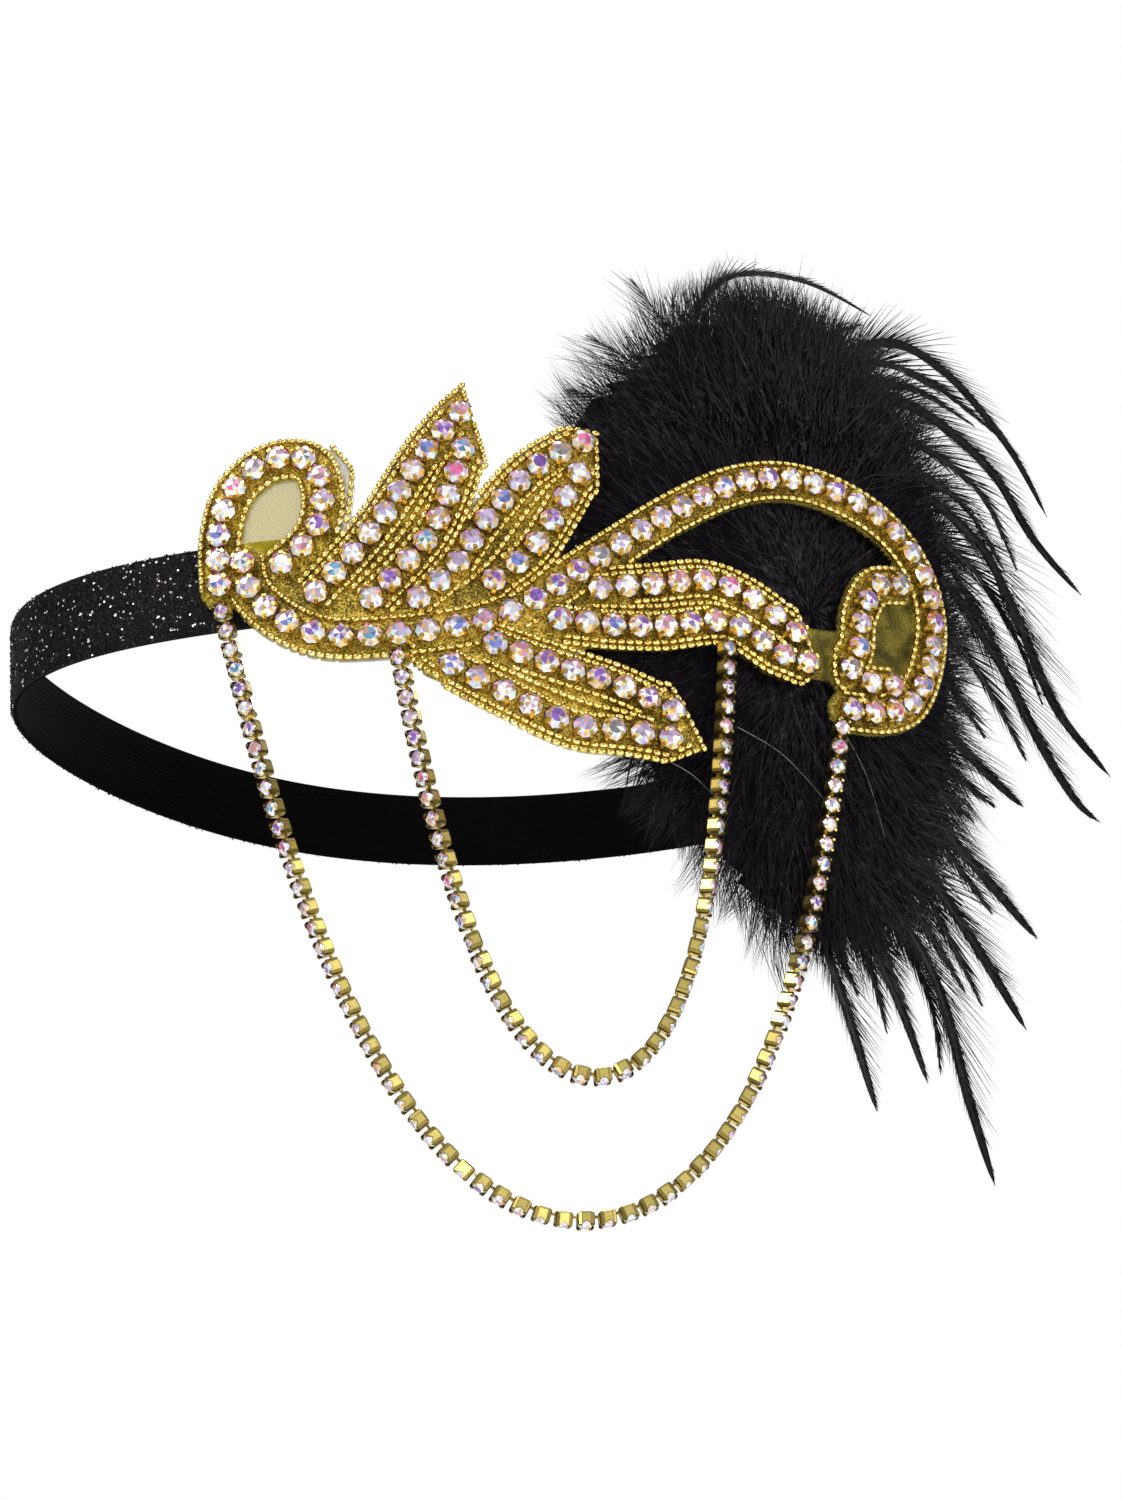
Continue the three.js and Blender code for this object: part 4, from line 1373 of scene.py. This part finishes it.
def cup_pattern(look):
    """A square cup with rounded corners, a notched rim round a sunk seat, four claws and a link.

    Returns the pattern and, for each of its points, whether it bounds a side panel, where the finish
    paints light; elsewhere it paints shade.
    """
    half = look.cup_width / 2
    depth = look.cup_depth
    corner_round, foot_round = 0.42 * half, 0.14 * half
    rim, panel_edge = 0.1 * half, 0.17 * half
    seat_drop, notch_drop = 0.3 * depth, 0.22 * depth
    claw_size, claw_reach, claw_level = 0.24 * half, 0.96 * half, 0.45 * depth
    deselect()
    bpy.ops.mesh.primitive_cube_add(size=1)
    obj = bpy.context.object
    bpy.ops.object.mode_set(mode="EDIT")
    bpy.ops.mesh.select_all(action="SELECT")
    bpy.ops.transform.resize(value=(2 * half, 2 * half, depth))
    pick_edges(lambda first, second: abs(first.z - second.z) > depth / 2)
    bpy.ops.mesh.bevel(offset=corner_round, segments=2, affect="EDGES")
    pick(lambda place: place.z < -0.4 * depth)
    bpy.ops.mesh.bevel(offset=foot_round, segments=1, affect="EDGES")
    high = 0.4 * depth
    pick_edges(lambda first, second: min(first.z, second.z) > high and (first - second).length > half)
    bpy.ops.mesh.subdivide(number_cuts=1)
    pick(lambda place: place.z > high)
    bpy.ops.mesh.inset(thickness=rim)
    bpy.ops.transform.translate(value=(0, 0, -seat_drop))
    pick(lambda place: place.z > high and min(abs(place.x), abs(place.y)) < 0.1 * half)
    bpy.ops.transform.translate(value=(0, 0, -notch_drop))
    bpy.context.tool_settings.mesh_select_mode = (False, False, True)
    mesh = bmesh.from_edit_mesh(obj.data)
    for face in mesh.faces:
        face.select = abs(face.normal.z) < 0.1 and face.calc_area() > half * depth / 2
    bmesh.update_edit_mesh(obj.data)
    bpy.ops.mesh.inset(thickness=panel_edge, use_individual=True)
    mesh = bmesh.from_edit_mesh(obj.data)
    panels = np.array([vertex.co for vertex in mesh.verts if vertex.select])
    for turn in range(4):
        angle = math.pi / 4 + turn * math.pi / 2
        corner = (claw_reach * math.cos(angle), claw_reach * math.sin(angle), claw_level)
        bpy.ops.mesh.primitive_cube_add(size=claw_size, location=corner, rotation=(0, 0, angle))
        bpy.ops.transform.resize(value=(1.2, 1.2, 1.6), center_override=corner)
    link = (CHAIN_PITCH * MM / 2, 0, -0.25 * depth)
    bpy.ops.mesh.primitive_cube_add(size=1, location=link)
    bpy.ops.transform.resize(value=[side * MM for side in LINK_SIZE], center_override=link)
    bpy.ops.object.mode_set(mode="OBJECT")
    pattern = as_pattern(obj)
    apart = np.linalg.norm(pattern[0][:, None] - panels[None], axis=2).min(axis=1)
    return pattern, apart < 1e-7


def build_chains(look):
    draw = np.random.default_rng(SEEDS["chains"])
    cup, panels = cup_pattern(look)
    radius = CUP_STONE_WIDTH * look.cup_width
    stone = stone_pattern(*(share * radius for share in CUP_STONE))
    gold = cup_finish(look)
    crystal = stone_finish()
    for name, row in SWAGS.items():
        places, ahead, level = swag(row)
        front = np.cross(level, UPRIGHT)
        below = np.cross(ahead, front)
        share = np.linspace(0, 1, row["cups"])
        first, lowest, last = row["turn"]
        ease = np.clip(np.minimum(share, 1 - share) / SWAG_TURN_SHARE, 0, 1)
        ease = ease**2 * (3 - 2 * ease)
        ends = np.where(share < 0.5, first, last)
        turn = np.radians(ends + (lowest - ends) * ease + draw.normal(0, 5, row["cups"]))[:, None]
        facing = np.cos(turn) * front + np.sin(turn) * below
        facing += (0.05 * draw.normal(0, 1, (row["cups"], 1))) * ahead
        facing = unit(facing)
        axes = np.stack([ahead, np.cross(facing, ahead), facing], 2)
        cups = make_piece(f"{name}_cups", copies(cup, places, axes), "gold", gold, replaces=[name])
        # The cup finish paints these side panels bright as light and the rest dark as shade.
        mark_points(cups, "bright", np.tile(panels, row["cups"]).astype(float))
        seat = places + facing * look.cup_depth * 0.3
        shape = copies(stone, seat, axes)
        stones = make_piece(f"{name}_stones", shape, "stones", crystal, replaces=[name])
        tint_facets(stones, stone, SEEDS["chain_tints"])


# Feathers.
def strands(roots, ways, normals, lengths, bends, widths, segments):
    """Tapering flat strands as points and triangles."""
    share = np.linspace(0, 1, segments + 1)[None, :, None]
    line = roots[:, None] + lengths[:, None, None] * (ways[:, None] * share + bends[:, None] * share**2)
    side = np.cross(normals, ways)
    side /= np.maximum(np.linalg.norm(side, axis=1), 1e-9)[:, None]
    half = widths[:, None, None] / 2 * (1 - share[:, :-1]) ** STRAND_TAPER * side[:, None]
    left, right = line[:, :-1] + half, line[:, :-1] - half
    points = np.concatenate([left, right, line[:, -1:]], 1)
    faces = []
    for k in range(segments - 1):
        faces.append((k, segments + k, segments + k + 1))
        faces.append((k, segments + k + 1, k + 1))
    faces.append((segments - 1, 2 * segments - 1, 2 * segments))
    shift = np.arange(len(roots))[:, None, None] * points.shape[1]
    return points.reshape(-1, 3), (np.array(faces)[None] + shift).reshape(-1, 3)


def blade(line, normal, half_wide, half_thick):
    """A closed four-sided blade along a line, wide across it and thin along the normal."""
    ahead = unit(np.gradient(line, axis=0))
    side = unit(np.cross(normal, ahead))
    over = np.cross(ahead, side)
    wide, thick = side * half_wide[:, None], over * half_thick[:, None]
    points = (line[:, None] + np.stack([wide, thick, -wide, -thick], 1)).reshape(-1, 3)
    faces = [(3, 2, 1), (3, 1, 0)]
    for k in range(len(line) - 1):
        for s in range(4):
            a, b = 4 * k + s, 4 * k + (s + 1) % 4
            faces += [(a, b, b + 4), (a, b + 4, a + 4)]
    end = len(points) - 4
    faces += [(end, end + 1, end + 2), (end, end + 2, end + 3)]
    return points, np.array(faces)


def barbs(dense, run, side_of, spacing, reach, thick, draw):
    """Barbs along one side of a quill, in small groups that lean together."""
    count = int(run[-1] / spacing)
    share = (np.arange(count) + draw.uniform(0, 1)) / count
    sheet = at_distance(dense, run, share * run[-1])
    line = on_plume(sheet)
    ahead = unit(line - on_plume(at_distance(dense, run, share * run[-1] - BARB_NUDGE)))
    normal = plume_normal(sheet[:, 0])
    side = side_of * np.cross(normal, ahead)
    group = np.cumsum(draw.uniform(0, 1, count) < BARB_GROUP_CHANCE)
    lean = draw.normal(0, 1, group[-1] + 1)[group]
    angle = np.interp(share, BARB_SHARES, BARB_ANGLES) + BARB_LEAN * lean
    angle = np.radians(angle + draw.normal(0, BARB_STRAY, count))
    lift = draw.normal(*BARB_LIFT, count) + BARB_LEAN_LIFT * lean
    barb = np.cos(angle)[:, None] * ahead + np.sin(angle)[:, None] * side + lift[:, None] * normal
    outline = np.array(HACKLE_OUTLINE)
    reach = reach * np.interp(share, outline[:, 0], outline[:, 2 if side_of > 0 else 3])
    length = reach * draw.normal(1, BARB_LENGTHS, count) * (1 + BARB_LEAN_LENGTH * lean)
    length = length / np.sin(np.radians(BARB_REACH_ANGLE)) * MM
    bend = BARB_BENDS[0] * ahead + BARB_BENDS[1] * draw.normal(0, 1, (count, 3))
    face = normal + BARB_TWIST * draw.normal(0, 1, (count, 3))
    return strands(line, barb, face, length, bend, np.full(count, thick), BARB_SEGMENTS)


def hackle(width, path, pitch, draw, dark=1.0, thick=0.5):
    """One hackle: a dark blade along its quill and its sets of barbs."""
    dense, run = spline(path)
    share = np.linspace(0, 1, QUILL_STEPS)
    sheet = at_distance(dense, run, share * run[-1])
    outline = np.array(HACKLE_OUTLINE)
    half_wide = dark * width * MM * np.interp(share, outline[:, 0], outline[:, 1])
    half_thick = np.linspace(*QUILL_THICKNESS, QUILL_STEPS) * MM
    parts = [blade(on_plume(sheet), plume_normal(sheet[:, 0]), half_wide, half_thick)]
    for side_of, apart, reach, heavy in BARB_SETS:
        spacing, barb_thick = apart * pitch / MM, heavy * thick * pitch
        parts.append(barbs(dense, run, side_of, spacing, reach * width, barb_thick, draw))
    return parts


def companion(first, second, share, shorter, draw):
    """A shorter hackle between two neighbours."""
    fractions = np.linspace(0, shorter, COMPANION_POINTS)
    paths = []
    for _, path in (first, second):
        dense, run = spline(path)
        paths.append(at_distance(dense, run, fractions * run[-1]))
    path = (1 - share) * paths[0] + share * paths[1]
    path[:, 2] += draw.uniform(*COMPANION_LIFTS)
    path[1:, :2] += draw.normal(0, 1, (COMPANION_POINTS - 1, 2))
    return (first[0] + second[0]) / 2, [tuple(point) for point in path]


def build_hackles(look):
    draw = np.random.default_rng(SEEDS["hackles"])
    parts = []
    for row in HACKLES:
        parts += hackle(*row, look.barb_pitch, draw)
    for first, second in zip(FAN, FAN[1:]):
        for share, shorter in COMPANIONS:
            row = companion(first, second, share, shorter, draw)
            parts += hackle(*row, look.barb_pitch * COMPANION_PITCH, draw, COMPANION_DARK)
    for width, path in FEATHERED_LOCKS:
        pitch = look.barb_pitch * LOCK_FEATHER_PITCH
        dark, thick = LOCK_FEATHER_DARK, LOCK_FEATHER_THICK
        parts += hackle(LOCK_FEATHER_WIDTH * width, path, pitch, draw, dark, thick)
    black = feather_finish("hackle_black", look, roughness=0.3, gloss=0.14, sheen_fleck_shade=6)
    make_piece("hackles", joined(parts), "feather", black, replaces=["feather_plume"])
    build_shafts()


def build_shafts():
    """Pale bare shafts over the plume's front."""
    parts = []
    for path in SHAFTS:
        dense, run = spline(path)
        sheet = at_distance(dense, run, np.linspace(0, run[-1], SHAFT_STEPS))
        thin = np.linspace(*SHAFT_THICKNESS, SHAFT_STEPS) * MM
        parts.append(blade(on_plume(sheet), plume_normal(sheet[:, 0]), thin, thin))
    pale = Finish("pale_shaft")
    grey = pale.ramp(pale.noise(400.0), (0.3, (0.05, 0.05, 0.055)), (0.7, (0.2, 0.2, 0.21)))
    pale.set(Base_Color=grey, Roughness=0.4)
    make_piece("pale_shafts", joined(parts), "feather", pale.material, replaces=["feather_plume"])


def down_edges(up):
    """The down's sheet columns at a level: from, to, front and the two backs."""
    table = np.array(DOWN_SECTIONS[::-1], float)
    return [np.interp(up, table[:, 0], table[:, k]) for k in range(1, 6)]


def down_core(draw):
    """The dense middle of the down, as level rings closed at both ends."""
    bottom, top = DOWN_SECTIONS[-1][0], DOWN_SECTIONS[0][0]
    levels = np.linspace(bottom + CORE_SHORT_BELOW, top - CORE_SHORT_ABOVE, CORE_LEVELS)
    sides = CORE_SIDES
    turn = np.arange(sides) * 2 * math.pi / sides
    share = (1 - np.cos(turn)) / 2
    rings = []
    for up in levels:
        start, end, front, back_left, back_right = down_edges(up)
        start += np.interp(up, *CORE_LEFT)
        end -= np.interp(up, *CORE_RIGHT)
        start += np.interp(abs(up), UNEVEN_LEVELS, (0, 1)) * draw.normal(0, UNEVEN_BY)
        back = back_left + (back_right - back_left) * share**DOWN_HOLLOW
        depth = (front + back) / 2 + (back - front) / 2 * np.sin(turn) * CORE_DEPTH
        along = start + (end - start) * share
        rings.append(on_plume(np.stack([along, np.full(sides, up), PLUME_BEHIND - depth], 1)))
    points = np.vstack(rings)
    faces = []
    for ring in range(len(levels) - 1):
        for k in range(sides):
            a, b = ring * sides + k, ring * sides + (k + 1) % sides
            faces += [(a, b + sides, b), (a, a + sides, b + sides)]
    last = len(points) - sides
    for k in range(1, sides - 1):
        faces += [(0, k, k + 1), (last, last + k + 1, last + k)]
    return points, np.array(faces)


def fan_way(sheet, draw, wander):
    """Directions on the plume's sheet that fan out from its root."""
    way = sheet[:, :2] - np.array(PLUME_ROOT)
    angle = np.arctan2(way[:, 1], way[:, 0]) + draw.normal(0, wander, len(sheet))
    return np.stack([np.cos(angle), np.sin(angle), draw.normal(*OPEN_LIFT, len(sheet))], 1)


def sheet_strands(sheet, way, length, width, draw, curl, segments=4):
    """Strands that start at places on the sheet and run along directions on it."""
    roots = on_plume(sheet)
    ahead = unit(on_plume(sheet + way * STRAND_NUDGE) - roots)
    bends = curl * draw.normal(0, 1, (len(sheet), 3))
    normals = plume_normal(sheet[:, 0]) + STRAND_TWIST * draw.normal(0, 1, (len(sheet), 3))
    return strands(roots, ahead, normals, length * MM, bends, width * MM, segments)


def loose_down(look, draw):
    """Loose strands over both faces of the down."""
    count = look.down_strands
    up = draw.uniform(DOWN_SECTIONS[-1][0], DOWN_SECTIONS[0][0], count)
    start, end, front, back_left, back_right = down_edges(up)
    share = draw.uniform(0, 1, count)
    bulge = np.sin(np.pi * np.clip(share, 0.04, 0.96))
    back = back_left + (back_right - back_left) * share**DOWN_HOLLOW
    middle = (front + back) / 2
    face = np.where(draw.uniform(0, 1, count) < FRONT_SHARE, front, back)
    depth = middle + (face - middle) * bulge
    start = start + STRAND_INSET * np.maximum(np.interp(up, *CORE_LEFT), 0)
    sheet = np.stack([start + (end - start) * share, up, PLUME_BEHIND - depth], 1)
    sheet[:, :2] += STRAND_PULL * (np.array(PLUME_ROOT) - sheet[:, :2])
    way = fan_way(sheet, draw, STRAND_STRAY)
    behind_net = (np.abs(up) < NET_REACH) & (face == front)
    way[:, 2] = np.where(behind_net, NET_LIFT, way[:, 2])
    length = draw.uniform(*STRAND_LENGTHS, count)
    width = draw.uniform(*STRAND_WIDTHS, count)
    return sheet_strands(sheet, way, length, width, draw, STRAND_CURL)


def edge_places(inset):
    """Places round the down's edge, in order, as sheet columns along, up and lift."""
    left, right = [], []
    for up, start, end, front, back_left, back_right in DOWN_SECTIONS:
        start += inset * max(np.interp(up, *CORE_LEFT), 0)
        end -= inset * np.interp(up, *CORE_RIGHT)
        left.append((start, up, PLUME_BEHIND - (front + back_left) / 2))
        right.append((end, up, PLUME_BEHIND - (front + back_right) / 2))
    return spaced(left[::-1] + right, WISP_PITCH)[0]


def wisps(draw):
    """Pointed locks round the down and, on the left, round its core, gathered at the tip."""
    parts = []
    for inset, share_of in WISP_RINGS:
        for place in edge_places(inset):
            if np.all(place[:2] > HIDDEN_FROM) and np.all(place[:2] < HIDDEN_TO):
                continue
            if inset and place[0] > PLUME_ROOT[0]:
                continue
            count = int(share_of * np.interp(place[1], *WISP_COUNTS))
            way = fan_way(place[None], draw, WISP_STRAY)[0]
            reach = share_of * draw.uniform(*WISP_REACHES) * np.interp(place[1], *WISP_SHORTER)
            across = np.array([-way[1], way[0], 0])
            spread = draw.normal(0, WISP_SPREAD[0], (count, 1)) * across
            spread = spread + draw.normal(0, WISP_SPREAD[1], (count, 1)) * LIFTED
            base = place - way * draw.uniform(*WISP_ROOTS, (count, 1)) + spread
            tip_share = draw.uniform(*WISP_TIPS, (count, 1)) ** WISP_TIP_POWER
            tip = place + way * reach * tip_share + spread * WISP_GATHER
            aim = tip - base
            length = np.linalg.norm(aim, axis=1)
            width = draw.uniform(*WISP_WIDTHS, count)
            parts.append(sheet_strands(base, unit(aim), length, width, draw, WISP_CURL))
    return parts


def lock_strands(draw):
    """Strands along each downy lock, spread at its root and gathered at its tip."""
    parts = []
    count = LOCK_STRANDS
    for width, path in LOOSE_LOCKS:
        dense, run = spline(path)
        begin = draw.uniform(*LOCK_BEGINS, count)
        base = at_distance(dense, run, begin * run[-1])
        end = np.clip(begin + draw.uniform(*LOCK_LENGTHS, count), 0, 1)
        tip = at_distance(dense, run, end * run[-1])
        heading = tip - base
        across = unit(np.stack([-heading[:, 1], heading[:, 0], 0 * begin], 1))
        spread = draw.normal(0, LOCK_SPREAD[0] * width, count)[:, None]
        spread = spread * (1 - LOCK_NARROWS * begin[:, None])
        raise_by = draw.normal(0, LOCK_SPREAD[1] * width, count)[:, None] * LIFTED
        base = base + spread * across + raise_by
        tip = tip + spread * across * LOCK_GATHER[0] + raise_by * LOCK_GATHER[1]
        aim = tip - base
        length = np.linalg.norm(aim, axis=1)
        wide = draw.uniform(*LOCK_WIDTHS, count)
        parts.append(sheet_strands(base, unit(aim), length, wide, draw, LOCK_CURL))
    return parts


def build_down(look):
    draw = np.random.default_rng(SEEDS["down"])
    deep = feather_finish("down_deep", look, roughness=0.7, gloss=0.03, sheen_fleck_shade=1.5)
    black = feather_finish("down_black", look, roughness=0.42, gloss=0.16, sheen_fleck_shade=9)
    make_piece("down_core", down_core(draw), "feather", deep, smooth=True, replaces=["feather_plume"])
    make_piece("down_strands", loose_down(look, draw), "feather", black)
    make_piece("down_wisps", joined(wisps(draw) + lock_strands(draw)), "feather", black)


# Stage.
def build_world():
    """White to the camera, and a grey sky, paler above, for light and reflections."""
    world = bpy.data.worlds.new("studio")
    bpy.context.scene.world = world
    world.use_nodes = True
    nodes, links = world.node_tree.nodes, world.node_tree.links
    back = nodes["Background"]
    seen = nodes.new("ShaderNodeLightPath")
    direction = nodes.new("ShaderNodeTexCoord")
    height = nodes.new("ShaderNodeSeparateXYZ")
    ramp = nodes.new("ShaderNodeValToRGB")
    stretch = nodes.new("ShaderNodeMapRange")
    mix = nodes.new("ShaderNodeMix")
    mix.data_type = "RGBA"
    stretch.inputs["From Min"].default_value = -1
    for element, (place, grey) in zip(ramp.color_ramp.elements, SKY_GREYS):
        element.position = place
        element.color = (grey, grey, grey, 1)
    links.new(direction.outputs["Generated"], height.inputs[0])
    links.new(height.outputs["Z"], stretch.inputs["Value"])
    links.new(stretch.outputs[0], ramp.inputs[0])
    links.new(seen.outputs["Is Camera Ray"], mix.inputs["Factor"])
    links.new(ramp.outputs[0], mix.inputs[6])
    mix.inputs[7].default_value = (1, 1, 1, 1)
    links.new(mix.outputs[2], back.inputs["Color"])


def add_light(name, place, target, size, power):
    deselect()
    bpy.ops.object.light_add(type="AREA", location=place)
    lamp = bpy.context.object
    lamp.name = name
    lamp.data.shape = "DISK"
    lamp.data.size = size
    lamp.data.energy = power
    aim = Vector(target) - Vector(place)
    lamp.rotation_euler = aim.to_track_quat("-Z", "Y").to_euler()


def build_stage(look):
    deselect()
    bpy.ops.mesh.primitive_plane_add(size=6, location=(0, 0, -look.floor_drop))
    floor = bpy.context.object
    floor.name = "floor"
    pale = Finish("pale_floor")
    grain = pale.noise(6.0)
    pale.set(Base_Color=pale.mix(grain, (0.84, 0.84, 0.84, 1), (0.9, 0.9, 0.9, 1)), Roughness=0.7)
    pale.set(Emission_Color=(1, 1, 1, 1), Emission_Strength=0.25)
    floor.data.materials.append(pale.material)
    floor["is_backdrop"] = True
    for name, place, size, power in LIGHTS:
        add_light(name, place, LIGHT_TARGET, size, power)
    build_world()
    deselect()
    camera = bpy.data.objects.new("camera", bpy.data.cameras.new("camera"))
    bpy.context.scene.collection.objects.link(camera)
    camera.data.lens = look.lens
    camera.data.sensor_width = 36
    camera.data.clip_start = 0.01
    forward, upward = Vector(CAMERA_FORWARD), Vector(CAMERA_UP)
    right = forward.cross(upward)
    turn = Matrix((right, upward, -forward)).transposed().to_4x4()
    camera.matrix_world = Matrix.Translation(CAMERA_PLACE) @ turn
    bpy.context.scene.camera = camera
    bpy.context.scene.view_settings.view_transform = "Standard"


class HEADBAND_OT_stage(bpy.types.Operator):
    """Adds the camera, the lights and the pale floor."""

    bl_idname = "headband.stage"
    bl_label = "Stage"

    def execute(self, context):
        build_stage(context.scene.headband_stage)
        return {"FINISHED"}


class HEADBAND_OT_band(bpy.types.Operator):
    """Builds the glitter elastic."""

    bl_idname = "headband.band"
    bl_label = "Glitter band"

    def execute(self, context):
        build_band(context.scene.headband_band)
        return {"FINISHED"}


class HEADBAND_OT_net(bpy.types.Operator):
    """Builds the stiff net with its gold thread."""

    bl_idname = "headband.net"
    bl_label = "Net"

    def execute(self, context):
        build_net(context.scene.headband_ornament)
        return {"FINISHED"}


class HEADBAND_OT_stones(bpy.types.Operator):
    """Builds the cut stones and their claw settings."""

    bl_idname = "headband.stones"
    bl_label = "Set stones"

    def execute(self, context):
        build_stones(context.scene.headband_ornament)
        return {"FINISHED"}


class HEADBAND_OT_beads(bpy.types.Operator):
    """Sews the seed beads along the ornament's lines."""

    bl_idname = "headband.beads"
    bl_label = "Seed beads"

    def execute(self, context):
        build_beads(context.scene.headband_ornament)
        return {"FINISHED"}


class HEADBAND_OT_chains(bpy.types.Operator):
    """Hangs the two cup chains."""

    bl_idname = "headband.chains"
    bl_label = "Cup chains"

    def execute(self, context):
        build_chains(context.scene.headband_chain)
        return {"FINISHED"}


class HEADBAND_OT_hackles(bpy.types.Operator):
    """Builds the hackle feathers."""

    bl_idname = "headband.hackles"
    bl_label = "Hackles"

    def execute(self, context):
        build_hackles(context.scene.headband_plume)
        return {"FINISHED"}


class HEADBAND_OT_down(bpy.types.Operator):
    """Builds the downy mass behind the ornament."""

    bl_idname = "headband.down"
    bl_label = "Down"

    def execute(self, context):
        build_down(context.scene.headband_plume)
        return {"FINISHED"}


LOOKS = {
    "headband_stage": StageLook,
    "headband_band": BandLook,
    "headband_ornament": OrnamentLook,
    "headband_chain": ChainLook,
    "headband_plume": PlumeLook,
}
OPERATORS = [
    HEADBAND_OT_stage,
    HEADBAND_OT_band,
    HEADBAND_OT_net,
    HEADBAND_OT_stones,
    HEADBAND_OT_beads,
    HEADBAND_OT_chains,
    HEADBAND_OT_hackles,
    HEADBAND_OT_down,
]


class HEADBAND_PT_panel(bpy.types.Panel):
    """Lists the headband's sizes, colours and pieces."""

    bl_label = "Flapper Headband"
    bl_idname = "HEADBAND_PT_panel"
    bl_space_type = "VIEW_3D"
    bl_region_type = "UI"
    bl_category = "Headband"

    def draw(self, context):
        for name, look in LOOKS.items():
            box = self.layout.box()
            for key in look.__annotations__:
                box.prop(getattr(context.scene, name), key)
        for operator in OPERATORS:
            self.layout.operator(operator.bl_idname)


CLASSES = [*LOOKS.values(), *OPERATORS, HEADBAND_PT_panel]


def register():
    for made in CLASSES:
        bpy.utils.register_class(made)
    for name, look in LOOKS.items():
        setattr(bpy.types.Scene, name, PointerProperty(type=look))


def unregister():
    for name in LOOKS:
        delattr(bpy.types.Scene, name)
    for made in reversed(CLASSES):
        bpy.utils.unregister_class(made)


def main():
    register()
    bpy.ops.headband.stage()
    bpy.ops.headband.band()
    bpy.ops.headband.net()
    bpy.ops.headband.stones()
    bpy.ops.headband.beads()
    bpy.ops.headband.chains()
    bpy.ops.headband.hackles()
    bpy.ops.headband.down()
    sizes = {"cad": CAD_BOX, "visual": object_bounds()}
    {name: [list(corner) for corner in box] for name, box in sizes.items()}


if __name__ == "__main__":
    main()
